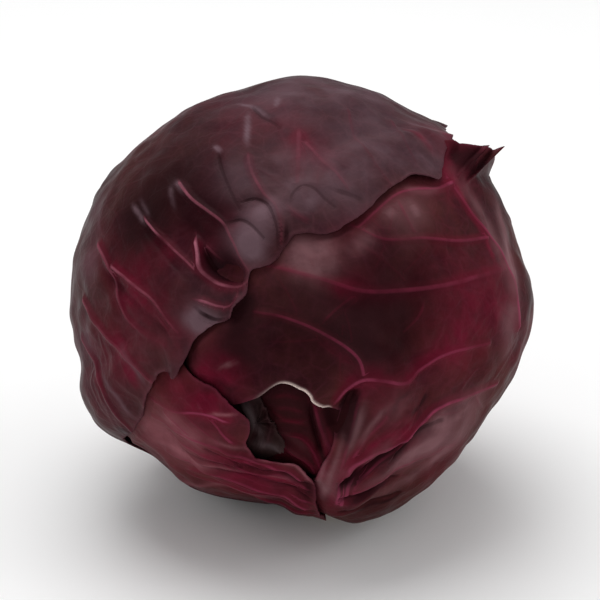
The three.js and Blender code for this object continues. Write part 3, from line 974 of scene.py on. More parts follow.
def disc_turn(x: Array, y: Array) -> tuple[Array, Array]:
    """Lays a square grid round a disc.

    Args:
        x: First coordinate of the grid points, from -1 to 1.
        y: Second coordinate of the grid points, from -1 to 1.

    Returns:
        The turn of each point in radians, and its ring from 0 to 1.
    """
    ring = np.maximum(np.abs(x), np.abs(y))
    safe = np.where(ring > 0, ring, 1)
    wide = np.abs(x) >= np.abs(y)
    along = np.where(wide, y / np.where(wide, np.where(x == 0, safe, x), safe), 0)
    across = np.where(wide, 0, x / np.where(y == 0, safe, y))
    turn = np.where(wide, pi / 4 * along, pi / 2 - pi / 4 * across)
    turn = turn + np.where(np.where(wide, x < 0, y < 0), pi, 0)
    return turn % (2 * pi), ring


def with_lines_between(grid: Array) -> Array:
    """Adds a new line halfway between every two lines of a square grid.

    Args:
        grid: A value at each point of the grid.

    Returns:
        The values at the points of the finer grid.
    """
    wide = np.empty((2 * len(grid) - 1,) * 2)
    wide[::2, ::2] = grid
    wide[1::2, ::2] = (grid[1:] + grid[:-1]) / 2
    wide[:, 1::2] = (wide[:, 2::2] + wide[:, :-2:2]) / 2
    return wide


def relax(x: Array, y: Array, passes: int) -> None:
    """Evens out the inside of a flat grid by Winslow's rule, which never folds it over.

    Args:
        x: First coordinate of the grid points, changed in place.
        y: Second coordinate of the grid points, changed in place.
        passes: How often every inner point moves.
    """
    for _ in range(passes):
        (xi, xj), (yi, yj) = (
            ((p[2:, 1:-1] - p[:-2, 1:-1]) / 2, (p[1:-1, 2:] - p[1:-1, :-2]) / 2) for p in (x, y)
        )
        down, across, skew = xj**2 + yj**2, xi**2 + yi**2, xi * xj + yi * yj
        for p in (x, y):
            twist = (p[2:, 2:] - p[2:, :-2] - p[:-2, 2:] + p[:-2, :-2]) / 4
            pull = down * (p[2:, 1:-1] + p[:-2, 1:-1]) + across * (p[1:-1, 2:] + p[1:-1, :-2])
            p[1:-1, 1:-1] = (pull - 2 * skew * twist) / (2 * (down + across))


@dataclass
class Leaf:
    """One wrapper leaf as a closed blade; sizes in mm, places on the show face or behind."""

    name: str
    node_slot: str
    middle: Array
    finish: LeafFinish
    waves: Waves
    margin: tuple[Point, ...] = ()
    margin_behind: tuple[Point, ...] = ()
    margin_tucked: tuple[Point, ...] = ()
    veins: tuple[Vein, ...] = ()
    puffs: tuple[Spot, ...] = ()
    dents: tuple[Spot, ...] = ()
    glow: tuple[Spot, ...] = ()
    # Spots of painted shade, where hollows and shaded zones are made darker.
    painted_shade: tuple[Spot, ...] = ()
    # Spots of grey waxy coat, with painted sheen on lit puffs and rims.
    bloom_and_sheen: tuple[Spot, ...] = ()
    strokes: tuple[Stroke, ...] = ()
    rolls: tuple[Roll, ...] = ()
    tears: tuple[Tear, ...] = ()
    rings: int = 100
    seed: int = 1
    # The blade: thickness in the middle and at the edge, more at the base, space beneath.
    blade: float = 1.2
    blade_edge: float = 0.6
    edge_run: float = 6.0
    base_extra: float = 1.0
    base_reach: float = 24.0
    gap: float = 1.3
    lift: float = 0.0
    # How it lies: pressed on at its margin, and draped over the margins beneath it.
    press: float = 0.9
    press_run: float = 9.0
    drape_start: float = 2.0
    drape: float = 8.0
    bare_start: float = 0.3
    bare_run: float = 3.0
    stem_clear: float = 12.2
    # Its skin: quilted between the veins, crumpled, ragged at the rim, flushed and hazy.
    quilt: float = 0.8
    quilt_run: float = 4.5
    crumple_height: float = 0.22
    crumple_wide: float = 26.0
    crumple_fine: float = 11.0
    wide_share: float = 1.6
    ragged: float = 0.25
    rim_run: float = 0.9
    flush: float = 0.3
    flush_length: float = 60.0
    # A grey waxy coat over the whole leaf, which also paints the sheen of reflected light.
    haze_and_sheen: float = 0.1
    haze_length: float = 90.0
    # The grid: points tried along the margin, first coarse step, passes of relaxing.
    margin_steps: int = 1200
    coarse_step: int = 8
    passes: int = 120
    # The leaves nearer the head, and those further out.
    below: list[Leaf] = field(default_factory=list)
    above: list[Leaf] = field(default_factory=list)

    def __post_init__(self) -> None:
        """Works out the leaf's own axes, its outline and its strands."""
        self.east = unit(np.cross(HEAD.axes()[1], self.middle))
        self.north = np.cross(self.middle, self.east)
        dirs = np.vstack([HEAD.front(self.margin), HEAD.back(self.margin_behind)])
        turns, reaches = self.chart(dirs)
        tucked = np.array(self.margin_tucked, dtype=float).reshape(-1, 2)
        self.outline = Outline(
            np.concatenate([turns, np.radians(tucked[:, 0])]),
            np.concatenate([reaches, tucked[:, 1]]),
        )
        rng = np.random.default_rng(self.seed)
        self.strands = [strand for vein in self.veins for strand in vein.strands(rng)]

    def chart(self, dirs: Array) -> tuple[Array, Array]:
        """Turn in radians and reach in mm of directions, from the middle of the leaf."""
        turn = np.arctan2(dirs @ self.north, dirs @ self.east) % (2 * pi)
        return turn, HEAD.arc(dirs, self.middle)

    def heading(self, turn: Array, reach: Array) -> Array:
        """Directions at turns and reaches from the middle of the leaf.

        Args:
            turn: Turn round the leaf's middle, in radians.
            reach: Reach from it, in mm.

        Returns:
            A unit direction for each pair.
        """
        angle = (reach / HEAD.arc_radius)[..., None]
        aside = np.cos(turn)[..., None] * self.east + np.sin(turn)[..., None] * self.north
        return np.cos(angle) * self.middle + np.sin(angle) * aside

    def from_margin(self, dirs: Array) -> Array:
        """Distance to the nearest point of the margin.

        Args:
            dirs: Unit directions from the middle of the head.

        Returns:
            The distance over the head in mm.
        """
        turns = self.outline.spoke(np.linspace(0, 1, self.margin_steps, endpoint=False))
        rim = self.heading(turns, self.outline.reach(turns)).astype(np.float32)
        parts = np.array_split(dirs.astype(np.float32), len(dirs) // BATCH + 1)
        nearest = np.concatenate([(part @ rim.T).max(axis=1) for part in parts])
        return HEAD.arc_radius * np.arccos(np.clip(nearest, -1, 1))

    def outside(self, dirs: Array) -> Array:
        """Distance past the margin, below zero on the leaf."""
        turn, reach = self.chart(dirs)
        return np.where(reach > self.outline.reach(turn), 1, -1) * self.from_margin(dirs)

    def cover(self, dirs: Array) -> Array:
        """1 on the leaf, falling to 0 a little way outside its margin."""
        return 1 - smooth((self.outside(dirs) - self.drape_start) / self.drape)

    def bare(self, dirs: Array) -> Array:
        """Tells where no leaf lies on this one.

        Args:
            dirs: Unit directions from the middle of the head.

        Returns:
            1 where the leaf is bare, 0 where another lies on it.
        """
        share = np.ones(len(dirs))
        for leaf in self.above:
            share *= smooth((leaf.outside(dirs) - self.bare_start) / self.bare_run)
        return share

    def thickness(self, dirs: Array) -> Array:
        """Thickness of the blade, greater at its fleshy base."""
        base = HEAD.arc(dirs, HEAD.stem_axis()) / self.base_reach
        return self.blade + self.base_extra * np.exp(-(base**2))

    def ripple(self, turn: Array, inset: Array) -> Array:
        """Height of the margin's folds.

        Args:
            turn: Turn of each point round the leaf's middle.
            inset: Its distance from the margin, in mm.

        Returns:
            The height in mm.
        """
        count = self.waves.count
        fold = 0.4 + 0.35 * np.sin(count * turn + self.seed)
        fold = fold + 0.25 * np.sin((2 * count + 3) * turn + 1)
        return self.waves.height * fold * np.exp(-((inset / self.waves.run) ** 2))

    def stack_height(self, dirs: Array) -> Array:
        """Radius of the leaf's inner face where it lies smoothly on what is beneath.

        Args:
            dirs: Unit directions from the middle of the head.

        Returns:
            The radius in mm in each direction.
        """
        radius = HEAD.girth_radius(dirs) - spot_field(dirs, POCKETS)
        for leaf in self.below:
            step = leaf.thickness(dirs) + self.gap + spot_field(dirs, leaf.puffs)
            radius += leaf.cover(dirs) * step
        return radius + spot_field(dirs, self.puffs) + self.lift

    def floor(self, side: int) -> float:
        """Lowest level of a face of this leaf: each leaf above it takes its own place."""
        return len(self.above) * (self.blade + self.gap) + self.blade * (1 - side)

    def turn_from(self, at: Point, turn: Array) -> Array:
        """Angle round the leaf's middle between a place on the show face and each turn.

        Args:
            at: The place, usually on the margin.
            turn: Turn of each point round the leaf's middle.

        Returns:
            The angle in radians, never below zero.
        """
        centre = self.chart(HEAD.front([at]))[0][0]
        return np.abs((turn - centre + pi) % (2 * pi) - pi)

    def roll_at(self, turn: Array) -> tuple[Array, Array]:
        """The margin's curl.

        Args:
            turn: Turn of each point round the leaf's middle.

        Returns:
            Length of blade that is curled and radius of the curl at each turn, in mm.
        """
        length, radius = np.zeros(len(turn)), np.ones(len(turn))
        for roll in self.rolls:
            away = self.turn_from(roll.at, turn)
            curl = (1 - smooth(away / roll.spread)) * roll.length
            radius = np.where(curl > length, roll.radius, radius)
            length = np.maximum(length, curl)
        return length, radius

    def surface(self, turn: Array, reach: Array) -> tuple[Array, Array, dict[str, Array]]:
        """Both faces of the blade at these turns and reaches.

        Args:
            turn: Turn of each grid point round the leaf's middle.
            reach: Reach of each grid point from the leaf's middle, in mm.

        Returns:
            Points of the outer face, points of the inner face, and the marks at each point.
        """
        skin = self.heading(turn, reach)
        inset = self.from_margin(skin)
        roll_length, roll_radius = self.roll_at(turn)
        rolled = np.maximum(roll_length - inset, 0)
        dirs = self.heading(turn, reach - rolled)
        bend = rolled / roll_radius
        away = self.heading(turn, reach - rolled + 1) - dirs
        away = unit(away - (away * dirs).sum(axis=1, keepdims=True) * dirs)

        bare = self.bare(dirs)
        relief = relief_of(skin, self.strands)
        quilted = self.quilt * (1 - np.exp(-((relief.near / self.quilt_run) ** 2)))
        uneven = crumple(skin, self.crumple_wide, self.seed) * self.wide_share
        uneven = uneven + crumple(skin, self.crumple_fine, self.seed + 50)
        rise = relief.height + quilted + self.crumple_height * uneven
        rise = rise - spot_field(skin, self.dents)
        margin = np.exp(-((inset / self.press_run) ** 2))
        covered = self.stack_height(dirs) - self.press * margin * bare
        radius = covered + bare * (rise + self.ripple(turn, inset))

        edge = np.exp(-((inset / self.edge_run) ** 2))
        thick = self.thickness(dirs) * (1 - edge) + self.blade_edge * edge
        faces = []
        for side in (1, 0):
            out = thick * side
            up = radius + roll_radius * (1 - np.cos(bend)) + out * np.cos(bend)
            up = above_floor(dirs, up, self.floor(side))
            along = (roll_radius - out) * np.sin(bend)
            faces.append(dirs * up[:, None] + away * along[:, None] + np.array(HEAD.centre))
        return faces[0], faces[1], self.marks(skin, turn, inset, relief, bare)

    def marks(
        self, dirs: Array, turn: Array, inset: Array, relief: Relief, bare: Array
    ) -> dict[str, Array]:
        """Values that the finish reads.

        Args:
            dirs: Unit directions of the points.
            turn: Turn of each point round the leaf's middle.
            inset: Its distance from the margin, in mm.
            relief: What the strands do at each point.
            bare: 1 where no leaf lies on this one, 0 where one does.

        Returns:
            A value for each point, by the names in MARKS.
        """
        torn = np.zeros(len(turn))
        for tear in self.tears:
            away = self.turn_from(tear.at, turn)
            stretch = 1 - smooth((away / tear.spread - tear.full) / tear.fade)
            torn = np.maximum(torn, stretch * np.exp(-((inset / tear.width) ** 2)))
        flush = smooth(crumple(dirs, self.flush_length, self.seed + 9))
        glow = spot_field(dirs, self.glow) + self.flush * flush
        # Painted shade: hollows, grooves, margins' undersides and shaded zones made darker.
        painted_shade = spot_field(dirs, self.painted_shade)
        # Grey waxy coat that also paints sheen, with painted highlights in some spots and strokes.
        haze_and_sheen = self.haze_and_sheen * (0.6 + 0.4 * crumple(dirs, self.haze_length, self.seed + 5))
        bloom_and_sheen = spot_field(dirs, self.bloom_and_sheen) + haze_and_sheen
        for stroke in self.strokes:
            band = stroke.band(dirs)
            glow += stroke.glow * band
            painted_shade += stroke.painted_shade * band
            bloom_and_sheen += stroke.bloom_and_sheen * band
        return {
            "vein": relief.veins.strength,
            "vein_offset": relief.veins.offset,
            "crease": relief.creases.strength,
            "crease_offset": relief.creases.offset,
            "glow": np.clip(glow, 0, 1),
            "painted_shade": np.clip(painted_shade, 0, 1),
            "bloom_and_sheen": np.clip(bloom_and_sheen, 0, 1),
            "torn": np.clip(torn, 0, 1),
            "rim": np.exp(-((inset / self.rim_run) ** 2)) * bare,
        }

    def trim(self) -> None:
        """Cuts the outline round the stem and makes it ragged."""
        turn, reach = self.chart(HEAD.stem_axis()[None, :])
        self.outline.clasp(turn[0], reach[0], self.stem_clear)
        rim = self.heading(self.outline.turns, self.outline.reaches)
        self.outline.roughen(self.ragged * self.bare(rim), self.seed)

    def grid(self) -> tuple[Array, Array]:
        """Fills the outline with an even square grid, laid flat.

        Returns:
            Both coordinates of the grid points, in mm.
        """
        side = np.linspace(-1, 1, 2 * self.rings + 1)
        angle, ring = disc_turn(*np.meshgrid(side, side))
        turn = self.outline.spoke(angle / (2 * pi))
        reach = ring * self.outline.reach(turn)
        start = reach * np.cos(turn), reach * np.sin(turn)
        step = self.coarse_step
        x, y = (p[::step, ::step].copy() for p in start)
        relax(x, y, self.passes)
        while step > 1:
            step //= 2
            x, y = with_lines_between(x), with_lines_between(y)
            for p, whole in zip((x, y), start):
                for rim in (np.s_[0, :], np.s_[-1, :], np.s_[:, 0], np.s_[:, -1]):
                    p[rim] = whole[::step, ::step][rim]
            relax(x, y, self.passes)
        return x, y

    def faces(self, shape: tuple[int, int]) -> list[list[int]]:
        """Faces of both sides of the blade and of the rim between them.

        Args:
            shape: Rows and columns of the grid of each side.

        Returns:
            Corner numbers of each face, with the outer side's corners first.
        """
        grid = np.arange(shape[0] * shape[1]).reshape(shape)
        a, b, c, d = grid[:-1, :-1], grid[:-1, 1:], grid[1:, 1:], grid[1:, :-1]
        rows, columns = np.indices(a.shape) < self.rings
        outwards = (rows == columns)[..., None]
        first = np.where(outwards, np.stack([a, b, c], axis=-1), np.stack([a, b, d], axis=-1))
        second = np.where(outwards, np.stack([a, c, d], axis=-1), np.stack([b, c, d], axis=-1))
        top = np.concatenate([first.reshape(-1, 3), second.reshape(-1, 3)])
        loop = np.concatenate([grid[0, :-1], grid[:-1, -1], grid[-1, :0:-1], grid[:0:-1, 0]])
        ahead = np.roll(loop, -1)
        return [
            *top.tolist(),
            *(top[:, ::-1] + grid.size).tolist(),
            *np.stack([loop + grid.size, ahead + grid.size, ahead, loop], axis=-1).tolist(),
        ]

    def build(self, tissue: bpy.types.NodeTree) -> bpy.types.Object:
        """Builds the blade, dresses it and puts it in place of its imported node.

        Args:
            tissue: The shared node group of leaf tissue.

        Returns:
            The finished piece.
        """
        x, y = self.grid()
        outer, inner, marks = self.surface(np.arctan2(y, x).ravel(), np.hypot(x, y).ravel())
        corners = np.vstack([outer, inner])
        doubled = {mark: np.tile(values, 2) for mark, values in marks.items()}
        piece = mesh_object(f"{self.name}_blade", corners, self.faces(x.shape), doubled)
        piece.data.materials.append(self.finish.material(tissue))
        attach(piece, BODY)
        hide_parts(self.name)
        return piece


@dataclass
class HeadCore:
    """The tight inner leaves that the core stands for, seen only through gaps."""

    finish: LeafFinish
    name: str = "head_core"
    node_slot: str = "core_leaf"
    inset: float = 3.0
    well_radius: float = 12.2
    well_floor: float = 7.0
    floor_gap: float = 20.0
    crumple_length: float = 30.0
    crumple_height: float = 0.4
    seed: int = 3
    # Grey waxy coat, which also paints sheen.
    bloom_and_sheen: float = 0.1
    glow: float = 0.3
    detail: int = 6

    def build(self, tissue: bpy.types.NodeTree) -> bpy.types.Object:
        """Builds the core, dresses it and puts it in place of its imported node.

        Args:
            tissue: The shared node group of leaf tissue.

        Returns:
            The finished piece.
        """
        ball = bmesh.new()
        bmesh.ops.create_icosphere(ball, subdivisions=self.detail, radius=1.0)
        dirs = unit(np.array([v.co[:] for v in ball.verts]))
        faces = [[v.index for v in f.verts] for f in ball.faces]
        ball.free()
        radius = HEAD.girth_radius(dirs) - spot_field(dirs, POCKETS) - self.inset
        radius += crumple(dirs, self.crumple_length, self.seed) * self.crumple_height
        radius = above_floor(dirs, radius, self.floor_gap)
        foot = HEAD.girth_radius(HEAD.stem_axis()[None, :])[0] - self.well_floor
        along = dirs @ HEAD.stem_axis()
        aside = np.sqrt(np.maximum(1 - along**2, 0)) * radius
        pit = foot / np.maximum(along, 0.5)
        radius = np.where(aside < self.well_radius, np.minimum(radius, pit), radius)
        corners = dirs * radius[:, None] + np.array(HEAD.centre)
        marks = {"bloom_and_sheen": np.full(len(dirs), self.bloom_and_sheen), "glow": np.full(len(dirs), self.glow)}
        piece = mesh_object(f"{self.name}_body", corners, faces, marks)
        piece.data.materials.append(self.finish.material(tissue))
        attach(piece, BODY)
        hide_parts(self.name)
        return piece


@dataclass(frozen=True)
class StemFinish:
    """Colours of the cut stem, and how often its patterns repeat in a metre."""

    name: str = "cut_stem"
    pith: str = "d9cdb4"
    wood: str = "b79f86"
    skin: str = "5a3042"
    stain: str = "8a7048"
    roughness: float = 0.72
    wander: float = 260.0
    stains: float = 120.0
    fibres: float = 700.0
    grain: float = 900.0
    relief: float = 0.6
    relief_depth: float = 0.0005

    def material(self) -> bpy.types.Material:
        """The stem's material, which reads how far each point is from the pith.

        Returns:
            A new material.
        """
        made, graph, shader = new_material(self.name)
        place = graph.place()
        radial = graph.add("ShaderNodeAttribute", attribute_name="radial").outputs["Fac"]
        wavy = graph.math("MULTIPLY_ADD", graph.noise(place, self.wander), 0.16, radial)
        colour = graph.mix(graph.span(wavy, 0.62, 0.8), linear(self.pith), linear(self.wood))
        colour = graph.mix(graph.span(wavy, 0.98, 1.08), colour, linear(self.skin))
        patch = graph.span(graph.noise(place, self.stains, 5.0), 0.5, 0.72)
        colour = graph.mix(graph.math("MULTIPLY", patch, 0.55), colour, linear(self.stain))
        fibres = graph.cells(place, self.fibres, 0.2)
        grain = graph.math("MULTIPLY_ADD", fibres, 0.4, graph.noise(place, self.grain))
        graph.feed(shader.inputs["Base Color"], colour)
        graph.feed(shader.inputs["Normal"], graph.bump(self.relief, self.relief_depth, grain))
        graph.feed(shader.inputs["Roughness"], self.roughness)
        return made


@dataclass
class StemStump:
    """The short cut stem that the leaves are joined to; sizes in mm."""

    finish: StemFinish
    name: str = "stem_stump"
    node_slot: str = "stem"
    radius: float = 11.0
    height: float = 5.0
    sink: float = 7.0
    clearance: float = 0.3
    dish: float = 0.8
    bevel: float = 1.2
    waver: float = 0.25
    spokes: int = 120

    def profile(self) -> Array:
        """Half of the stump's upright section, from its foot up to its face.

        Returns:
            Rows of distance from the axis and height over the foot, in mm.
        """
        r, h, b = self.radius, self.height, self.bevel
        wall = [(r, h * k / 8) for k in range(7)]
        bevel = [(r - b + b * cos(a), h - b + b * sin(a)) for a in (0.4, 0.8, 1.2, pi / 2)]
        face = [(r * s, h - self.dish * (1 - (s / 0.9) ** 2)) for s in (0.8, 0.65, 0.5, 0.35, 0.2)]
        return np.array([(r * 0.5, 0.0), *wall, *bevel, *face])

    def build(self) -> bpy.types.Object:
        """Builds the stump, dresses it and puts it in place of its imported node.

        Returns:
            The finished piece.
        """
        axis = HEAD.stem_axis()
        east = unit(np.cross(HEAD.axes()[0], axis))
        north = np.cross(axis, east)
        profile = self.profile()
        turn = np.linspace(0, 2 * pi, self.spokes, endpoint=False)
        ridges = 0.018 * np.sin(9 * turn) + 0.012 * np.sin(23 * turn + 1) + 0.02 * np.sin(2 * turn)
        rim = profile[:, 0, None] * (1 + ridges * (profile[:, 0, None] / self.radius) ** 4)
        level = np.repeat(profile[:, 1, None], self.spokes, axis=1)
        level += self.waver * np.sin(5 * turn + 0.6) * (level > self.height / 2)
        foot = HEAD.girth_radius(axis[None, :])[0] - self.sink + self.clearance
        rows = len(profile)
        ring = (
            np.cos(turn)[None, :, None] * east * rim[..., None]
            + np.sin(turn)[None, :, None] * north * rim[..., None]
            + (foot + level)[..., None] * axis
        ).reshape(-1, 3)
        ends = np.array([axis * foot, axis * (foot + self.height - self.dish)])
        corners = np.vstack([ring, ends]) + np.array(HEAD.centre)
        grid = np.arange(rows * self.spokes).reshape(rows, self.spokes)
        ahead = np.roll(grid, -1, axis=1)
        walls = np.stack([grid[:-1], ahead[:-1], ahead[1:], grid[1:]], axis=-1).reshape(-1, 4)
        foot_fan = [[rows * self.spokes, b, a] for a, b in zip(grid[0], ahead[0])]
        face_fan = [[rows * self.spokes + 1, a, b] for a, b in zip(grid[-1], ahead[-1])]
        faces = [*walls.tolist(), *foot_fan, *face_fan]
        radial = np.concatenate([(rim / self.radius).ravel(), [0.0, 0.0]])
        piece = mesh_object(f"{self.name}_cut", corners, faces, {"radial": radial})
        piece.data.materials.append(self.finish.material())
        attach(piece, BODY)
        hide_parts(self.name)
        return piece


@dataclass
class Studio:
    """Pale floor, soft lights and the camera; sizes in metres."""

    floor_size: float = 12.0
    distance: float = 0.9
    frame_width: float = 0.2227
    sensor: float = 36.0
    nearest: float = 0.05
    farthest: float = 50.0
    sky_strength: float = 0.45
    paper_roughness: float = 0.9

    def floor(self) -> bpy.types.Object:
        """A pale floor under the head.

        Returns:
            The floor.
        """
        mesh = bpy.data.meshes.new("floor")
        s = self.floor_size / 2
        mesh.from_pydata([(-s, -s, 0), (s, -s, 0), (s, s, 0), (-s, s, 0)], [], [(0, 1, 2, 3)])
        made = bpy.data.objects.new("floor", mesh)
        bpy.context.scene.collection.objects.link(made)
        paper, graph, shader = new_material("pale_floor")
        place = graph.place()
        tone = graph.mix(graph.noise(place, 3.0), linear("f6f6f6"), linear("fbfbfb"))
        graph.feed(shader.inputs["Base Color"], tone)
        graph.feed(shader.inputs["Roughness"], self.paper_roughness)
        made.data.materials.append(paper)
        return made

    def lights(self) -> None:
        """Large soft lights above, at both sides and in front, and a pale sky."""
        rows = (
            ("top_light", (-0.2, 0.3, 1.6), 1.3, 17.0),
            ("left_light", (-1.5, 0.1, 0.8), 1.0, 2.5),
            ("right_light", (1.5, 0.1, 0.6), 1.0, 7.0),
            ("front_light", (-0.5, -1.8, 0.9), 1.2, 3.0),
        )
        aim = Vector(HEAD.centre) * MM
        for name, place, size, power in rows:
            lamp = bpy.data.lights.new(name, "AREA")
            lamp.shape, lamp.size, lamp.energy = "SQUARE", size, power
            made = bpy.data.objects.new(name, lamp)
            made.location = place
            made.rotation_mode = "QUATERNION"
            made.rotation_quaternion = (aim - Vector(place)).to_track_quat("-Z", "Y")
            bpy.context.scene.collection.objects.link(made)
        world = bpy.data.worlds.new("pale_sky")
        world.use_nodes = True
        sky = world.node_tree.nodes["Background"]
        sky.inputs["Color"].default_value = (1.0, 1.0, 1.0, 1.0)
        sky.inputs["Strength"].default_value = self.sky_strength
        bpy.context.scene.world = world
        bpy.context.scene.view_settings.view_transform = "Standard"

    def camera(self) -> bpy.types.Object:
        """The camera, square to the show face.

        Returns:
            The camera, set as the scene's own.
        """
        lens = bpy.data.cameras.new("camera")
        lens.sensor_width = self.sensor
        lens.lens = self.sensor * self.distance / self.frame_width
        lens.clip_start, lens.clip_end = self.nearest, self.farthest
        made = bpy.data.objects.new("camera", lens)
        out = Vector(HEAD.axes()[2])
        made.location = Vector(HEAD.centre) * MM + out * self.distance
        made.rotation_mode = "QUATERNION"
        made.rotation_quaternion = (-out).to_track_quat("-Z", "Y")
        bpy.context.scene.collection.objects.link(made)
        bpy.context.scene.camera = made
        return made


# Pockets pressed into the head itself, and a heavy side under it (a depth below zero).
POCKETS = (
    *spots([(-29, 13, 7, 4), (11, -46, 6, 3), (18.5, -39, 5, 2.5), (3, -70, 5, 3)]),
    *spots([(-20, -63, 28, -4)], Side.BACK),
)


def inner_leaf() -> Leaf:
    """The smooth leaf that shows through the torn opening.

    Returns:
        The leaf, not yet built.
    """
    return Leaf(
        name="inner_leaf",
        node_slot="inner_leaf",
        middle=HEAD.front([(-2, -44)])[0],
        finish=LeafFinish("inner_leaf_tissue", dark="220a0d", warm="2c1012", vein="5e2236",
                          wax_and_sheen="3c1c20"),
        waves=Waves(5, 0.0, 10.0),
        rings=60,
        quilt=0.2,
        haze_and_sheen=0.0,
        margin=(
            (-4, -8), (16, -14), (34, -26), (38, -44), (32, -60), (22, -72), (12, -78), (0, -77),
            (-16, -72), (-34, -62), (-44, -48), (-40, -30), (-24, -14),
        ),
        veins=(
            Vein(2.4, ((14, -72), (12.5, -60), (10, -54), (7.5, -48), (5.8, -41), (5, -34)),
                 width=1.9, tint=0.9),
            Vein(1.6, ((9, -74), (7.5, -64), (4, -56), (0, -52.5), (-6, -52)), width=1.2,
                 tint=0.6),
            Vein(1.2, ((8, -74), (5, -66), (1, -61), (-5, -57)), width=1.2, tint=0.6),
            Vein(-1.8, ((8.5, -60), (6, -51), (4.4, -44), (4, -37)), width=1.1, tint=0, shade=0.8),
            Vein(-1.6, ((-14, -39), (-10.5, -44), (-9, -51)), width=1.2, tint=0, shade=0.5),
            Vein(0.7, ((3, -46), (-4, -46), (-10, -43)), width=1, tint=0.2),
        ),
        puffs=spots([(-2, -41, 8, 1.2), (-1, -57, 5, 1)]),
        bloom_and_sheen=spots([(-3, -38, 6, 0.25)]),
        # Strokes: flush, painted shade in hollows and grooves, waxy coat that also paints sheen.
        strokes=(
            Stroke(((5.9, -40.1), (8.2, -49), (11.1, -56.4), (12.6, -60.1)), 1.8, glow=0.6,
                   bloom_and_sheen=0.9),
            Stroke(((-14.1, -52.3), (-7.4, -51.6), (-0.7, -54.2), (3.7, -58.6)), 1.4, bloom_and_sheen=1.2),
            Stroke(((-11.9, -56.4), (-5.9, -56.4), (-1.5, -58.6), (2.2, -61.6)), 1.0, bloom_and_sheen=0.9),
            Stroke(((-11.1, -37.1), (-5.2, -36.4), (0.7, -37.9)), 0.8, glow=0.25),
            Stroke(((-10.4, -41.6), (-4.5, -41.2), (2.2, -43.1)), 0.8, glow=0.25),
            Stroke(((-8.9, -46.4), (-3, -46), (3, -48.3)), 0.8, glow=0.25),
            Stroke(((2.2, -37.1), (4.8, -45.3), (7.4, -54.2)), 1.6, painted_shade=0.9),
            Stroke(((8.9, -41.6), (11.1, -46.4), (12.6, -51.2)), 2.6, painted_shade=1.0),
        ),
        seed=11,
    )


def torn_shred() -> Leaf:
    """The dried, curled scrap of leaf that lies in the opening.

    Returns:
        The leaf, not yet built.
    """
    return Leaf(
        name="torn_shred",
        node_slot="dried_leaf",
        middle=HEAD.front([(-16, -46)])[0],
        finish=LeafFinish(
            "dried_leaf_tissue", dark="1c1012", warm="2b1c1b", vein="5a4444", glow="301018",
            wax_and_sheen="504446", gloss=0.5,
        ),
        waves=Waves(4, 2.2, 8.0),
        rings=44,
        margin=(
            (-22, -35), (-17.5, -35), (-13, -39.5), (-10.5, -44.5), (-8, -50), (-5, -54.5),
            (-9, -58), (-17, -60), (-21, -53), (-20, -44),
        ),
        veins=(
            Vein(1.1, ((-14, -56), (-11, -48), (-13, -39)), width=1.2, tint=0.4),
            Vein(-1.2, ((-19, -55), (-16, -47), (-18, -39)), width=1.8, tint=0, shade=0.6),
        ),
        # Strokes: flush, painted shade in hollows and grooves, waxy coat that also paints sheen.
        strokes=(
            Stroke(((-20.8, -37.9), (-17.8, -44.5), (-14.1, -52)), 1.6, bloom_and_sheen=0.6),
            Stroke(((-16.3, -53.5), (-11.9, -54.6), (-6.7, -55.7)), 2.0, bloom_and_sheen=1.1),
            Stroke(((-14.1, -38.6), (-11.9, -45.3), (-8.9, -51.2)), 1.4, painted_shade=0.9),
        ),
        ragged=0.5,
        seed=12,
    )


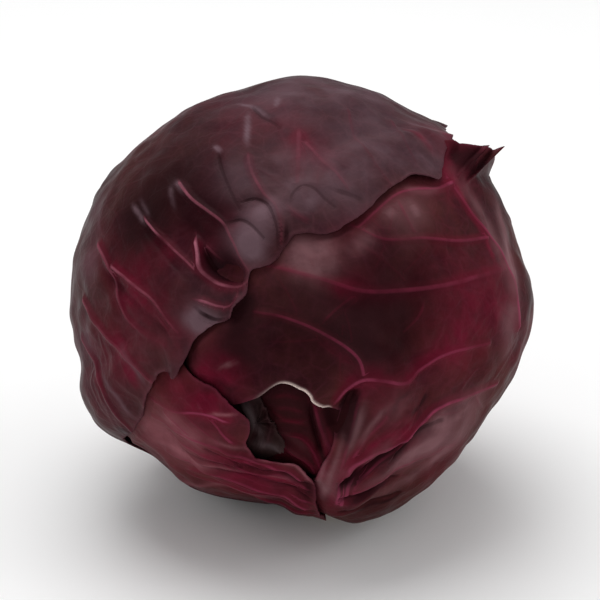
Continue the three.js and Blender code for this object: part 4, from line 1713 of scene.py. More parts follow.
def right_leaf() -> Leaf:
    """The broad leaf of the lower right, torn open at its left and curled at its top.

    Returns:
        The leaf, not yet built.
    """
    return Leaf(
        name="right_leaf",
        node_slot="wrapper_leaf",
        middle=HEAD.front([(44, 26)])[0],
        finish=LeafFinish("right_leaf_tissue", dark="290b11", warm="46201e"),
        waves=Waves(11, 1.0, 7.0),
        rings=104,
        margin=(
            (2, -80), (5, -70), (8.5, -62), (12, -56), (13.5, -51), (15.6, -43.6), (11, -42),
            (6.4, -40.1), (4.3, -38.6), (2.2, -35.2), (-2, -33.1), (-6.7, -31.6), (-11.6, -33.3),
            (-16.4, -36.2), (-26, -38), (-35.5, -35.5), (-42.5, -26), (-44.5, -15), (-41, 0),
            (-22.5, 22.5), (-3.5, 34), (15, 45), (37, 58), (50, 61), (62, 57),
        ),
        margin_behind=((66, 35), (62, 18), (56, 0), (54, -22), (50, -45), (34, -66), (18, -76)),
        puffs=spots([
            (40, 30, 14, 2.2), (35, 12, 16, 1.6), (12, 3, 14, 1.6), (48, -12, 15, 1.8),
            (30, -18, 9, 1.2), (58, -50, 12, 1.2), (36, -38, 9, 1.5), (10, 16, 13, 1.4),
        ]),
        dents=spots([
            (-3, 18, 2.0, 0.8), (4.5, 20.5, 1.6, 0.7), (6.5, 18, 1.3, 0.8), (15, 15.5, 1.6, 0.7),
            (38, -41, 2.4, 0.8), (34, -40, 1.6, 0.7), (30, -41, 1.4, 0.8), (42, -36, 2.0, 0.7),
        ]),
        rolls=(
            Roll((64, 53), 0.4, 15, 9), Roll((56.5, 60), 0.2, 11, 9),
            Roll((64.5, 54.5), 0.045, 19, 9), Roll((67.5, 49.5), 0.05, 18, 9),
            Roll((2, -34), 0.3, 3, 2.5),
        ),
        tears=(Tear((3.4, -34), 0.19, 0.6),),
        veins=(
            Vein(2.2, ((16.3, -66.8), (19.3, -61.6), (24.5, -57.9), (31.2, -55.3), (38.2, -52.3),
                       (44.9, -47.9), (51.2, -41.9), (58.6, -38.2), (66.1, -35.6), (75, -31.9)),
                 width=1.8, tint=1.0, spacing=9),
            Vein(2.1, ((12.6, -40.8), (14.5, -37.1), (17.8, -32.7), (23, -29.3), (30.4, -29.3),
                       (37.9, -30.1), (44.5, -26.4), (55.7, -20), (72, -16.3)), width=1.5,
                 tint=0.8, spacing=9),
            Vein(1.4, ((13.5, -69), (17, -57), (20.5, -46), (23.5, -35)), width=1.3, tint=0.5),
            Vein(1.6, ((24, -31), (20.5, -20.5), (8, -12), (-5.5, -6.5), (-16.5, -4.5)), width=1.3,
                 tint=0.6, spacing=8),
            Vein(0.8, ((7.5, -9.5), (11, -5.5), (20.5, 2)), width=1.2, tint=0.2),
            Vein(1.3, ((80, 13), (68, 9), (54, 5.5), (37, 3.5), (22.5, 3.5), (7.5, 8), (-11, 13)),
                 width=1.9, tint=0.45, spacing=14),
            Vein(1.2, ((73, 24), (61, 22.5), (46.5, 23), (31.5, 22.5), (20.5, 28)), width=1.4,
                 tint=0.5, spacing=12),
            Vein(1.2, ((60, 46), (52, 42.5), (37, 40), (22.5, 28)), width=1.4, tint=0.65,
                 spacing=12),
            Vein(1.9, ((83, -13), (82.5, -3.5), (77, 16.5), (67, 31.5), (57.5, 46)), width=2.0,
                 tint=0.85, spacing=9),
            Vein(1.4, ((15.5, -72), (29.5, -68), (42, -62), (54, -56)), width=1.6, tint=0.5,
                 spacing=8),
            Vein(0.7, ((46.5, 0), (44, -6.5), (40, -11)), tint=0.2),
            Vein(0.7, ((61, -17.5), (60.5, -11), (62, -4)), tint=0.2),
            Vein(0.9, ((36, 38), (38, 33), (42, 26)), tint=0.35),
            Vein(-2.6, ((22, -33), (19.5, -38), (17.5, -44), (14.5, -51)), width=2.2, tint=0,
                 shade=0.9),
            Vein(-3.0, ((14, -71.5), (16, -70), (22.5, -64), (29.5, -59.5), (37, -54)), width=2.2,
                 tint=0, shade=1.0),
            Vein(-2.6, ((34, -61), (37, -58.5), (42.5, -53), (48.5, -49), (52.5, -46.5)),
                 width=2.0, tint=0, shade=0.9),
            Vein(-2.4, ((14, -74.5), (16.5, -74), (22.5, -73), (29.5, -70.5), (35.5, -68.5)),
                 width=2.0, tint=0, shade=0.9),
            Vein(-2.0, ((14, -79), (16.5, -79), (26, -77.5), (37, -74)), width=1.8, tint=0,
                 shade=0.8),
            Vein(1.8, (), ((24, -74), (50, -56), (64, -34), (70, -8)), tint=0.7, spacing=10),
            *fan(
                Vein(1.4, ((12.5, -76), (14, -66), (18, -54), (26, -42)), width=1.3, tint=0.8),
                Vein(1.4, ((15, -77), (24, -68), (36, -60), (50, -50)), width=1.3, tint=0.8),
                4,
            ),
        ),
        glow=spots([
            (60, -18, 14, 0.7), (76, 2, 14, 0.6), (57, 52, 8, 0.9), (14, -66, 12, 0.6),
            (-30, -24, 9, 0.9), (24, -29, 6, 0.9), (55, 6, 16, 0.5), (40, -54, 12, 0.5),
            (-35, -35, 8, 0.6), (20, 3, 8, 0.5),
        ]),
        # Painted shade: darker patches where the leaf lies in shade.
        painted_shade=spots([
            (32, 0, 20, 0.6), (-22, -14, 12, 0.5), (2, -12, 14, 0.4), (46, 12, 14, 0.35),
            (22, -12, 14, 0.4), (-4, 4, 10, 0.3), (20, -46, 6, 0.5), (34, -60, 6, 0.4),
        ]),
        # Grey waxy coat, with painted sheen and highlights on lit puffs and rims.
        bloom_and_sheen=spots([
            (60, -47, 14, 0.6), (80, 15, 7, 0.4), (37, -64, 6, 0.5), (48, -57, 7, 0.3),
            (6, 16, 8, 0.5), (62, -60, 12, 0.5), (40, 33, 8, 0.35), (0, 18, 7, 0.4),
            (11, -70, 6, 0.5), (36, -38, 6, 0.25),
        ]),
        # Strokes: flush, painted shade in hollows and grooves, waxy coat that also paints sheen.
        strokes=(
            Stroke(((-4.5, 17.1), (1.9, 17.1), (9.3, 14.1), (16.7, 14.1)), 4.5, bloom_and_sheen=0.8),
            Stroke(((19.3, 18.6), (24.1, 22.3), (28.2, 26)), 3, bloom_and_sheen=0.45),
            Stroke(((-8.9, 13.4), (0, 10), (8.2, 7.4)), 1.2, glow=1.0),
            Stroke(((8.2, 6.7), (18.6, 3.7), (31.6, 1.9), (42.7, 3.7)), 3, glow=0.9),
            Stroke(((37.1, 41.9), (46.4, 41.6), (54.2, 42.3)), 1.6, glow=0.6, bloom_and_sheen=0.4),
            Stroke(((31.9, 31.2), (35.6, 34.1)), 2, bloom_and_sheen=0.4),
            Stroke(((41.2, 36), (43.8, 30.4)), 1.5, bloom_and_sheen=0.4),
            Stroke(((59, 49), (63, 43.5), (68, 36), (73, 26), (76.5, 14)), 3.4, bloom_and_sheen=0.6),
            Stroke(((70.5, 44.5), (75, 35.3), (78.7, 24.1), (81.3, 11.1), (81.7, -3.7),
                    (79.4, -18.6)), 4.5, bloom_and_sheen=0.6),
            Stroke(((58.6, 48.3), (63.8, 37.1), (70.5, 24.1), (75, 11.1)), 1.6, glow=0.9),
            Stroke(((56.4, 54.9), (61, 53.5), (66.5, 50)), 5.5, glow=0.4, painted_shade=0.9),
            Stroke(((66, 50), (69.5, 46), (70.5, 43)), 5.5, glow=0.4, painted_shade=0.9),
            Stroke(((76.1, 0), (78.7, -11.1), (77.2, -22.3)), 4, bloom_and_sheen=0.15),
            Stroke(((52, -16.7), (57.5, -16.7), (62.4, -15.6)), 3, glow=0.9),
            Stroke(((37.1, -29.3), (44.5, -24.9), (53.8, -19.7)), 3, glow=0.7),
            Stroke(((16.7, -32.7), (23, -28.6), (31.6, -29.3)), 2.5, glow=0.9),
            Stroke(((6.7, -12.6), (13.4, -18.6), (20.8, -23)), 2.2, glow=0.8),
            Stroke(((-37.1, -27.8), (-31.2, -25.2), (-24.9, -23.8)), 4, glow=1.0),
            Stroke(((-30.1, -24.9), (-24.1, -23.4)), 0.8, bloom_and_sheen=1.0),
            Stroke(((-35.3, -30.8), (-29, -31.9), (-22.3, -34.1)), 2.5, painted_shade=0.7),
            Stroke(((-34.1, -16.7), (-24.1, -18.6), (-14.1, -26)), 6, painted_shade=0.4),
            Stroke(((-20, 3.7), (-20.8, -4.5), (-23.8, -11.1)), 3, painted_shade=0.8),
            Stroke(((18.6, -11.1), (31.6, -16.7), (44.5, -11.1)), 12, painted_shade=0.4),
            Stroke(((14.8, -70.5), (20.8, -67.6), (26.7, -62.7), (32.7, -58.6), (38.2, -53.1)),
                   1.6, glow=0.6, painted_shade=0.9),
            Stroke(((35.6, -60.9), (40.8, -54.9), (46.4, -50.5), (53.1, -45.7)), 1.0, painted_shade=0.9),
            Stroke(((16.7, -76.5), (25.2, -73.1), (35.6, -69.4)), 1.5, glow=0.6, painted_shade=0.8),
            Stroke(((29.7, -78), (39, -73.9)), 0.9, painted_shade=0.9),
            Stroke(((16.7, -80.9), (26, -78.7), (32.7, -76.8)), 1.2, painted_shade=0.7),
            Stroke(((11.1, -66.1), (19.3, -62.4), (29, -56.4), (37.1, -50.5)), 2.2, bloom_and_sheen=0.5),
            Stroke(((19.3, -71.3), (31.2, -66.1), (42.3, -59.4), (55.7, -49.7)), 2.6, bloom_and_sheen=0.8),
            Stroke(((22.3, -76.5), (37.1, -71.3), (48.3, -63.8), (59.4, -52)), 3, bloom_and_sheen=0.7),
            Stroke(((49, -48.3), (57.5, -42.7), (66.1, -37.1)), 4.5, bloom_and_sheen=0.95),
            Stroke(((49, -59.4), (54.2, -56.4), (58.6, -53.8)), 1.0, glow=1.0),
            Stroke(((16.7, -38.6), (17.8, -44.5), (15.2, -52)), 2.2, painted_shade=1.2),
            Stroke(((8.2, -74.2), (11.1, -66.8), (14.1, -59.4), (16.7, -52)), 1.0, bloom_and_sheen=0.7),
            Stroke(((6.7, -71.3), (8.2, -65.3), (10.4, -58.6)), 0.8, bloom_and_sheen=0.6),
            Stroke(((4.5, -72.8), (6.7, -67.6), (9.7, -61.6)), 1.0, glow=0.8),
            Stroke(((11.1, -76.5), (14.1, -69), (18.6, -60.1), (22.3, -52)), 1.0, glow=0.9),
            Stroke(((14.8, -63.1), (19.3, -54.2), (22.3, -46), (24.5, -38.6)), 1.2, bloom_and_sheen=0.6),
            Stroke(((17.1, -56.4), (19.3, -48.3), (20.8, -40.1), (21.5, -35.6)), 1.6, painted_shade=0.9),
            Stroke(((20.8, -55.7), (26.7, -46), (32.7, -37.9)), 1.0, bloom_and_sheen=0.45),
            Stroke(((40.1, -41.6), (46, -40.1), (49.4, -34.1)), 1.6, painted_shade=0.8),
            Stroke(((34.1, -41.6), (35.6, -36.4), (41.6, -32.7)), 0.8, painted_shade=0.5),
            Stroke(((22.3, -57.5), (31.6, -52), (41.6, -47.5)), 2.5, glow=0.8),
        ),
        seed=13,
    )


def back_right_leaf() -> Leaf:
    """The leaf that wraps the right side towards the back.

    Returns:
        The leaf, not yet built.
    """
    return Leaf(
        name="back_right_leaf",
        node_slot="wrapper_leaf",
        middle=HEAD.back([(38, -2)])[0],
        finish=LeafFinish("back_right_tissue"),
        waves=Waves(9, 1.3, 9.0),
        rings=76,
        haze_and_sheen=0.2,
        lift=0.5,
        margin_behind=(
            (11, -78), (40, -64), (62, -42), (72, -16), (75, 12), (72, 34), (58, 54), (34, 68),
            (8, 68), (-14, 52), (-22, 22), (-18, -14), (-8, -48), (0, -70),
        ),
        veins=(
            Vein(2.3, (), ((20, -74), (44, -58), (58, -34), (62, -6), (56, 24), (40, 46)),
                 width=2.2, tint=0.8, spacing=9),
            Vein(1.4, (), ((60, -22), (68, -8), (70, 6)), tint=0.6, spacing=8),
            Vein(1.4, (), ((61, 4), (66, 20), (62, 32)), tint=0.6, spacing=8),
            Vein(1.4, (), ((52, 30), (36, 30), (24, 24)), tint=0.6, spacing=8),
            Vein(1.4, (), ((60, -18), (44, -6), (26, 0)), tint=0.6, spacing=8),
        ),
        bloom_and_sheen=spots([(50, 10, 30, 0.4)], Side.BACK),
        seed=14,
    )


def lower_left_leaf() -> Leaf:
    """The leaf of the lower left, whose folds fan out from the stem.

    Returns:
        The leaf, not yet built.
    """
    return Leaf(
        name="lower_left_leaf",
        node_slot="wrapper_leaf",
        middle=HEAD.front([(-40, -62)])[0],
        finish=LeafFinish("lower_left_tissue", warm="4e2222", wax_and_sheen="8c565e"),
        waves=Waves(9, 0.9, 7.0),
        rings=88,
        margin=(
            (8, -80), (6.2, -74), (5.6, -68.7), (1.9, -63.8), (-3.7, -60), (-11, -57.2),
            (-16.7, -56.8), (-19.5, -52.5), (-18, -47), (-19.5, -41.5), (-24, -37), (-35.5, -30),
            (-46, -22), (-58, -22), (-70, -32),
        ),
        margin_behind=((-66, -42), (-52, -52), (-32, -65), (-12, -74), (4, -78)),
        puffs=spots([(-40, -45, 12, 1.5), (-30, -58, 8, 1), (-52, -56, 10, 1)]),
        rolls=(Roll((-9, -58), 0.2, 3, 2.2),),
        veins=(
            Vein(2.0, ((5, -76), (-11, -70.5), (-26, -66), (-37, -63), (-50, -57)), width=1.8,
                 tint=0.6),
            Vein(1.7, ((2, -68), (-11, -60), (-18.5, -57.5), (-29.5, -54), (-39, -50), (-50, -42)),
                 width=1.6, tint=0.65),
            Vein(1.3, ((4, -72), (-8, -65), (-22, -61), (-36, -57), (-50, -50)), tint=0.5),
            Vein(1.2, ((6, -78), (-10, -75), (-26, -71), (-42, -66)), tint=0.5),
            Vein(1.2, ((-22, -53), (-30, -46), (-36, -38)), tint=0.6, spacing=7),
            Vein(1.2, ((-34, -52), (-46, -48), (-56, -44)), tint=0.5),
            Vein(1.0, ((-24, -44), (-34, -41), (-46, -41), (-56, -38)), tint=0.8),
            Vein(1.0, ((1, -62), (-6, -57), (-14, -57), (-24, -58)), width=1.0, tint=0.55),
            Vein(1.0, ((3, -64), (-2, -57.5), (-9, -56)), width=0.9, tint=0.5),
            Vein(-1.1, ((3, -70), (-10, -63), (-20, -60), (-34, -55)), width=1.2, tint=0,
                 shade=0.5),
            Vein(-1.0, ((5, -74), (-10, -68), (-26, -64), (-44, -58)), width=1.2, tint=0,
                 shade=0.5),
            Vein(-1.0, ((-18, -60), (-30, -60.5), (-44, -56)), width=1.3, tint=0, shade=0.35),
            *fan(
                Vein(0.6, ((4, -66), (-14, -60), (-30, -50), (-44, -38)), width=0.9, tint=0.45),
                Vein(0.6, ((6, -78), (-14, -74), (-34, -68), (-52, -58)), width=0.9, tint=0.45),
                9,
            ),
        ),
        glow=spots([
            (-35, -40, 10, 0.8), (-30, -60, 8, 0.5), (-10, -68, 10, 0.6), (-46, -34, 8, 0.5),
            (-22, -70, 10, 0.5),
        ]),
        # Grey waxy coat, with painted sheen and highlights on lit puffs and rims.
        bloom_and_sheen=spots([(-52, -52, 12, 0.6), (-44, -60, 12, 0.35)]),
        # Strokes: flush, painted shade in hollows and grooves, waxy coat that also paints sheen.
        strokes=(
            Stroke(((-52.7, -40.8), (-42.7, -48.3), (-33.4, -52)), 5, bloom_and_sheen=0.5),
            Stroke(((-39, -36.4), (-29, -37.5), (-20, -38.2)), 2.4, glow=1.0, painted_shade=0.2),
            Stroke(((-35.3, -41.2), (-22.3, -41.6)), 2.0, glow=1.0),
            Stroke(((-32.7, -40.8), (-22.3, -40.1)), 0.6, bloom_and_sheen=0.8),
            Stroke(((-49, -42.7), (-43.8, -48.3), (-35.6, -52)), 0.8, glow=1.0),
            Stroke(((-42.7, -43.8), (-35.3, -46), (-26, -46.8)), 2.2, painted_shade=0.25),
            Stroke(((-50.1, -51.2), (-37.1, -56.4), (-18.6, -58.6), (-3.7, -61.6)), 1.0, glow=1.0),
            Stroke(((-52, -54.2), (-40.8, -60.1), (-22.3, -63.1), (0, -67.6)), 1.2, bloom_and_sheen=0.6),
            Stroke(((-46.4, -63.1), (-29.7, -65.3), (-11.1, -66.1), (3, -70.5)), 1.8, glow=0.9),
            Stroke(((-48.3, -66.1), (-31.6, -70.5), (-13, -73.5), (3.7, -75)), 1.6, bloom_and_sheen=0.4),
            Stroke(((-33.4, -51.2), (-18.6, -54.2), (-7.4, -59.4)), 1.0, bloom_and_sheen=0.5),
            Stroke(((-17.8, -55.7), (-9.3, -58.3), (-3, -60.5), (1.9, -64.6), (4.8, -69)), 0.9,
                   bloom_and_sheen=0.9),
            Stroke(((-14.1, -56.4), (-6.7, -57.9)), 0.8, glow=1.0),
            Stroke(((-0.7, -66.1), (3, -69.8), (3.3, -72.8)), 2.0, painted_shade=0.9),
        ),
        seed=15,
    )


def top_leaf() -> Leaf:
    """The big waxy leaf over the top and left, with its pinched and rolled lip.

    Returns:
        The leaf, not yet built.
    """
    return Leaf(
        name="top_leaf",
        node_slot="bloomed_leaf",
        middle=HEAD.heading(*unit(np.array((-0.55, 0.62, -0.05)))),
        finish=LeafFinish("top_leaf_tissue", dark="2a1118", warm="3d1c1c", vein="9c5c6c",
                          wax_and_sheen="6a525a", sheen=0.025),
        waves=Waves(13, 1.2, 7.0),
        rings=108,
        margin=(
            (56.5, 64.5), (57.5, 61), (55, 55.7), (54.3, 50.9), (52.8, 45.3), (48, 44.8),
            (41.5, 45.5), (38, 44), (31.5, 39.5), (26, 34), (20.5, 29.5), (16.5, 27), (11, 24.5),
            (2, 24.5), (-2, 24), (-4.5, 21), (-6.5, 18.5), (-10.5, 13.5), (-14, 12), (-18.5, 11),
            (-19.5, 5.5), (-19.5, 1), (-21, -4.5), (-26.5, -8), (-32.5, -9.5), (-39, -15),
            (-40.5, -20.5), (-42.5, -25), (-44.5, -29), (-47, -27), (-52, -28.5), (-55.5, -33),
            (-58, -39), (-59.5, -44.5), (-62.5, -49.5), (-65, -55),
        ),
        margin_tucked=(
            (284, 122), (270, 132), (262, 165), (255, 196), (246, 184), (232, 158), (217, 143),
            (200, 130), (186, 115), (163, 107), (140, 109), (119, 112),
        ),
        puffs=spots([
            (-20, 21, 6, 2), (-15, 29, 6.5, 2), (-38, -6, 5, 2), (-47, 8, 10, 1.6),
            (-58, -8, 9, 1.5), (-33, 46, 12, 1.8), (-9, 52, 12, 1.8), (13, 42, 11, 1.8),
            (28, 52, 10, 1.5), (-48, 40, 10, 1.5), (-30, 4.5, 4, 2.5),
        ]),
        dents=spots([(-30, 13, 5.5, 3.2), (-25, 10, 4.5, 2.4), (-2, 26, 2.5, 1.5)]),
        rolls=(
            Roll((-21, -4.5), 0.12, 6, 3.5), Roll((45, 45), 0.16, 3, 3),
            Roll((-50, -27), 0.16, 3, 3),
        ),
        veins=(
            Vein(2.6, (), ((-72, -10), (-66, 10), (-52, 36), (-34, 56), (-20, 68)), width=2.4,
                 tint=0.8, spacing=10),
            Vein(1.9, ((-46, 45.3), (-40.8, 38.2), (-34.5, 33.4), (-29, 29), (-25.2, 22.3),
                       (-23, 16.3), (-20.4, 11.9)), width=1.3, tint=0.8),
            Vein(-1.3, ((-28, 29.5), (-22.5, 30), (-18, 27.5), (-13.5, 23)), width=1.1, tint=0,
                 shade=0.7),
            Vein(1.4, ((-19.7, 55.7), (-18.2, 48.3), (-14.1, 40.8), (-9.3, 35.3), (-7.1, 27.8),
                       (-7.1, 22.3)), width=1.3, tint=0.5, spacing=9),
            Vein(-1.2, ((-23.8, 36), (-20, 38.2), (-16, 38.6), (-12.6, 36.4), (-10, 31.6),
                        (-8.5, 26), (-8.5, 20)), width=1.0, tint=0, shade=0.65),
            Vein(-1.0, ((-30.8, 55.7), (-29, 48.3), (-26, 40.8), (-23, 34.5)), width=1.1, tint=0,
                 shade=0.5),
            Vein(-0.8, ((-3.7, 35.6), (-2.6, 39.7), (0.7, 42.3), (4.5, 41.2), (8.5, 37.5),
                        (12.6, 34.1)), width=1.0, tint=0, shade=0.4),
            Vein(0.7, ((-4.8, 35.3), (-1.5, 31.9), (2.2, 29.7)), width=1.0, tint=0.5),
            Vein(-1.2, ((-5.2, 28.6), (-5.2, 22.3), (-7.1, 16.3)), width=1.4, tint=0, shade=0.8),
            Vein(-0.8, ((11.1, 40.1), (16, 39), (20.8, 37.5)), width=1.8, tint=0, shade=0.5),
            Vein(-0.9, ((-18.5, 73.5), (-14, 70), (-8, 66)), width=1.2, tint=0, shade=0.5),
            Vein(1.4, ((-0.5, 66), (-0.5, 58), (-1, 46)), width=2.2, tint=0.4, spacing=9),
            Vein(1.2, ((0, 62), (6.5, 54.5), (16.5, 41.5)), width=1.7, tint=0.4, spacing=8),
            Vein(1.2, ((18, 74), (20.5, 62), (26.5, 51), (34, 42)), width=1.4, tint=0.15,
                 spacing=8),
            Vein(1.2, ((34, 70), (38, 60), (44, 50)), width=1.3, tint=0.15, spacing=8),
            Vein(1.9, ((-60.1, 32.3), (-55.7, 26.7), (-50.1, 21.2), (-44.5, 16), (-39, 11.1),
                       (-35.6, 8.5)), width=1.1, tint=0.85),
            Vein(1.9, ((-72.8, 14.1), (-66.8, 8.9), (-60.9, 4.1), (-55.7, 0.4), (-50.9, -5.6),
                       (-46, -11.5)), width=1.2, tint=0.75),
            Vein(1.0, ((-54, -5.5), (-49.5, -12)), width=1.0, tint=0.6),
            Vein(1.6, ((-77.2, 23), (-74.2, 15.6), (-71.6, 9.3), (-69.8, 1.9), (-66.8, -5.6),
                       (-59.4, -11.9), (-50.1, -16.7)), width=1.4, tint=0.6),
            Vein(1.6, ((-83, 2), (-74, -13), (-64, -22.5), (-54, -31)), width=1.5, tint=0.55,
                 spacing=8),
            Vein(1.4, ((-84, -12), (-76, -28), (-70.5, -40), (-63, -49)), width=1.4, tint=0.45,
                 spacing=8),
            Vein(3.0, ((-40, 25), (-38.6, 18), (-37.6, 12.5), (-35, 9), (-29.7, 5.9), (-23.5, 4.8),
                       (-20.3, 6.5)), width=1.5, tint=1.0),
            Vein(1.9, ((-39.3, 0.4), (-34.9, -0.7), (-30.4, -2.2), (-25.6, -2.6), (-21.9, 0)),
                 width=1.1, tint=0.9),
            Vein(-2.0, ((-38.2, -3), (-35.6, -5.6), (-31.9, -7.4), (-27.5, -7.4)), width=1.3,
                 tint=0, shade=1.0),
            Vein(1.0, ((-37.5, 22.3), (-34.5, 19.3), (-31.9, 16.7)), width=1.2, tint=0.5),
            Vein(-2.0, ((-37, 20), (-35, 14), (-32.5, 11), (-27.5, 8.2), (-23, 7.6)), width=1.6,
                 tint=0, shade=0.9),
            Vein(-1.0, ((-74, 10), (-64, 0), (-54, -9), (-46, -18)), width=2.0, tint=0, shade=0.3),
            Vein(-1.0, ((-60, 28), (-50, 16), (-42, 8)), width=2.0, tint=0, shade=0.3),
            Vein(1.6, (), ((-60, 30), (-40, 30), (-16, 26)), tint=0.6, spacing=9),
            Vein(1.6, (), ((-50, 40), (-26, 48), (0, 46)), tint=0.6, spacing=9),
            Vein(1.6, (), ((-34, 56), (-10, 66), (14, 66)), tint=0.6, spacing=9),
            Vein(1.5, (), ((-68, 4), (-50, 6), (-30, 2)), tint=0.6, spacing=9),
        ),
        glow=spots([
            (-63, 8, 12, 0.7), (-55, 0, 10, 0.5), (-30, 24, 8, 0.6), (-48, 20, 9, 0.35),
            (0, 60, 8, 0.5), (-66, -22, 12, 0.5), (-28, 10, 6, 0.6), (8, 54, 8, 0.35),
            (-76, -20, 12, 0.4), (-42, -14, 8, 0.4),
        ]),
        # Painted shade: darker patches where the leaf lies in shade.
        painted_shade=spots([
            (-48, 44, 20, 0.75), (-64, 26, 14, 0.6), (-34, 30, 10, 0.5), (-52, 6, 8, 0.35),
            (-30, 12, 6, 0.8), (-45, -4, 8, 0.3), (-66, -40, 12, 0.35),
        ]),
        # Grey waxy coat, with painted sheen and highlights on lit puffs and rims.
        bloom_and_sheen=spots([
            (2, 80, 20, 0.6), (34, 72, 18, 0.6), (-38, -7.5, 5, 0.7), (14, 44, 14, 0.5),
            (-20, 21, 6.5, 0.7), (-14, 31, 7, 0.35), (-82, 14, 7, 0.35), (-80, 30, 7, 0.3),
            (-8, 40, 10, 0.5), (44, 54, 11, 0.55), (24, 54, 12, 0.4), (-22, 46, 8, 0.35),
            (-82, -16, 6, 0.3),
        ]),
        # Strokes: flush, painted shade in hollows and grooves, waxy coat that also paints sheen.
        strokes=(
            Stroke(((-45.3, 39), (-37.1, 31.6), (-29, 25.2), (-25.2, 14.1)), 5, glow=0.35,
                   painted_shade=0.45),
            Stroke(((-70.5, 12.6), (-66.1, 5.2), (-60.1, -0.7)), 3, glow=1.0),
            Stroke(((-58.3, 26.7), (-52.7, 20), (-47.5, 15.6)), 2, glow=0.7),
            Stroke(((-73.9, 17.8), (-70.5, 5.6), (-66.1, -6.7), (-60.9, -12.6)), 3, glow=0.5,
                   painted_shade=0.3),
            Stroke(((-75, 40.8), (-77.2, 31.6), (-79.1, 20.4), (-79.4, 7.4), (-78.5, 0)), 4.5,
                   bloom_and_sheen=0.4),
            Stroke(((-76.1, 36), (-76.5, 25.2)), 0.6, bloom_and_sheen=0.8),
            Stroke(((-47.1, 45.3), (-43.1, 40.1)), 0.9, bloom_and_sheen=1.3),
            Stroke(((-63.5, 36), (-59.8, 29.7)), 0.9, bloom_and_sheen=1.3),
            Stroke(((-60.5, 38.2), (-57.5, 31.6)), 0.8, bloom_and_sheen=0.7),
            Stroke(((-19.7, 71.3), (-20, 58.6)), 0.9, bloom_and_sheen=1.2),
            Stroke(((-32.3, 58.3), (-29.7, 55.3)), 0.8, bloom_and_sheen=1.1),
            Stroke(((-48.3, 43.4), (-47.5, 34.1)), 0.8, bloom_and_sheen=0.6),
            Stroke(((-8.5, 77.2), (-8.9, 73.5)), 0.8, bloom_and_sheen=0.9),
            Stroke(((-23.8, 75), (-16.7, 72.8), (-11.9, 69.8)), 0.8, bloom_and_sheen=0.8),
            Stroke(((-20, 74.2), (-14.1, 72), (-8.5, 68.3)), 1.2, painted_shade=0.6),
            Stroke(((-19.3, 25.2), (-17.8, 19.3), (-18.6, 14.1)), 4, bloom_and_sheen=0.55),
            Stroke(((-18.6, 34.1), (-13.4, 31.9), (-10.4, 25.2)), 3, bloom_and_sheen=0.25),
            Stroke(((-40.8, -6.7), (-35.3, -8.2), (-30.4, -11.1)), 3.5, bloom_and_sheen=0.9),
            Stroke(((-14.1, 55.7), (-6.7, 50.1), (-5.6, 40.8)), 7, bloom_and_sheen=0.4),
            Stroke(((2.2, 37.9), (5.9, 32.7)), 4, bloom_and_sheen=0.4),
            Stroke(((40.1, 67.6), (47.5, 65.3), (52, 63.1)), 1.0, bloom_and_sheen=0.7),
            Stroke(((37.1, 65.3), (44.5, 60.9), (50.5, 54.9)), 1.5, glow=0.6),
            Stroke(((52, 63.8), (56.4, 60.9), (57.9, 55.7)), 4, glow=0.9, painted_shade=0.2),
            Stroke(((38.6, 46), (46.4, 45.3), (52.7, 44.2)), 1.2, painted_shade=0.5),
            Stroke(((-74.2, -26.7), (-68.7, -36.4), (-62.4, -44.5)), 1.2, bloom_and_sheen=0.5),
            Stroke(((-69.8, -14.8), (-63.8, -23), (-56.4, -32.7)), 1.0, bloom_and_sheen=0.5),
            Stroke(((-71.3, -13), (-65.3, -23), (-59.4, -34.1)), 2.5, glow=0.7),
            Stroke(((-83.1, -6.7), (-78.7, -19.3), (-74.2, -31.6)), 3, glow=0.5, painted_shade=0.3),
            Stroke(((-69.8, -46.4), (-63.8, -50.5), (-58.6, -51.2)), 5, glow=0.3, painted_shade=0.9),
            Stroke(((-45.3, -13), (-40.8, -19.3), (-42.3, -26.7)), 2, painted_shade=0.5),
        ),
        seed=16,
    )


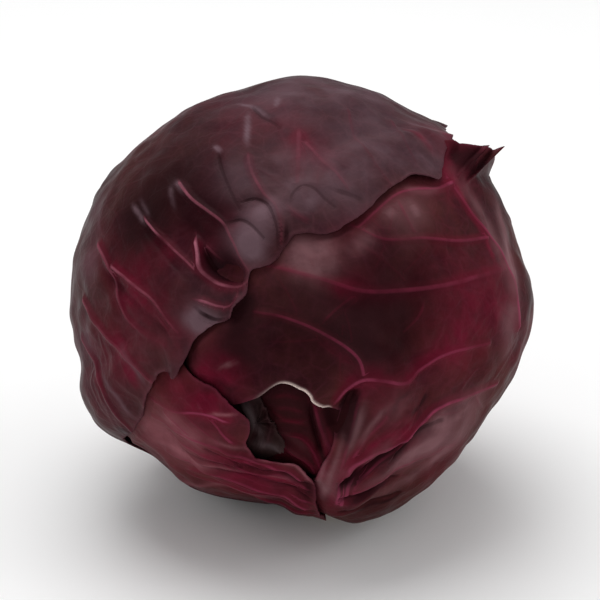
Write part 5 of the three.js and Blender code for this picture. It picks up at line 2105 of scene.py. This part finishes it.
def back_leaf() -> Leaf:
    """The outermost leaf, behind and under the head, which it rests on.

    Returns:
        The leaf, not yet built.
    """
    return Leaf(
        name="back_leaf",
        node_slot="wrapper_leaf",
        middle=HEAD.back([(2, -28)])[0],
        finish=LeafFinish("back_leaf_tissue", dark="2c0e15", warm="381419"),
        waves=Waves(11, 1.3, 8.0),
        rings=92,
        lift=1.4,
        haze_and_sheen=0.18,
        margin_behind=(
            (-64, -28), (-66, -6), (-56, 18), (-36, 40), (-12, 52), (12, 50), (34, 38), (50, 16),
            (58, -10), (56, -34), (44, -56), (27, -69), (13, -78), (-7, -73), (-24, -68),
            (-41, -61), (-56, -48),
        ),
        veins=(
            Vein(2.6, (), ((6, -70), (2, -52), (1, -20), (0, 10), (-2, 44)), width=2.6, tint=0.85,
                 spacing=10),
            Vein(1.8, (), ((2, -46), (20, -34), (40, -10), (46, 8)), tint=0.7, spacing=9),
            Vein(1.6, (), ((1, -20), (16, -4), (28, 24)), tint=0.7, spacing=9),
            Vein(1.8, (), ((2, -42), (-22, -28), (-46, -4), (-54, 10)), tint=0.7, spacing=9),
            Vein(1.6, (), ((1, -14), (-16, 4), (-30, 32)), tint=0.7, spacing=9),
            Vein(1.6, (), ((-4, -56), (-30, -48), (-56, -34)), tint=0.7, spacing=9),
            Vein(1.4, (), ((4, -60), (26, -56), (44, -40)), tint=0.6, spacing=9),
        ),
        bloom_and_sheen=spots([(0, 0, 40, 0.35)], Side.BACK),
        seed=17,
    )


def main() -> None:
    """Builds the head from the inside out, then the studio round it."""
    logging.basicConfig(level=logging.INFO, format="%(message)s")
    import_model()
    tissue = tissue_group()

    core = HeadCore(LeafFinish("heart_tissue", dark="280b11", warm="341216"))
    LOG.info("made %s", core.build(tissue).name)
    LOG.info("made %s", StemStump(StemFinish()).build().name)
    leaves = [
        inner_leaf(), torn_shred(), right_leaf(), back_right_leaf(), lower_left_leaf(),
        top_leaf(), back_leaf(),
    ]
    for k, leaf in enumerate(leaves):
        leaf.below, leaf.above = leaves[:k], leaves[k + 1 :]
    for leaf in leaves:
        leaf.trim()
    for leaf in leaves:
        piece = leaf.build(tissue)
        LOG.info("made %s with %d faces", piece.name, len(piece.data.polygons))

    studio = Studio()
    studio.floor()
    studio.lights()
    studio.camera()


if __name__ == "__main__":
    main()
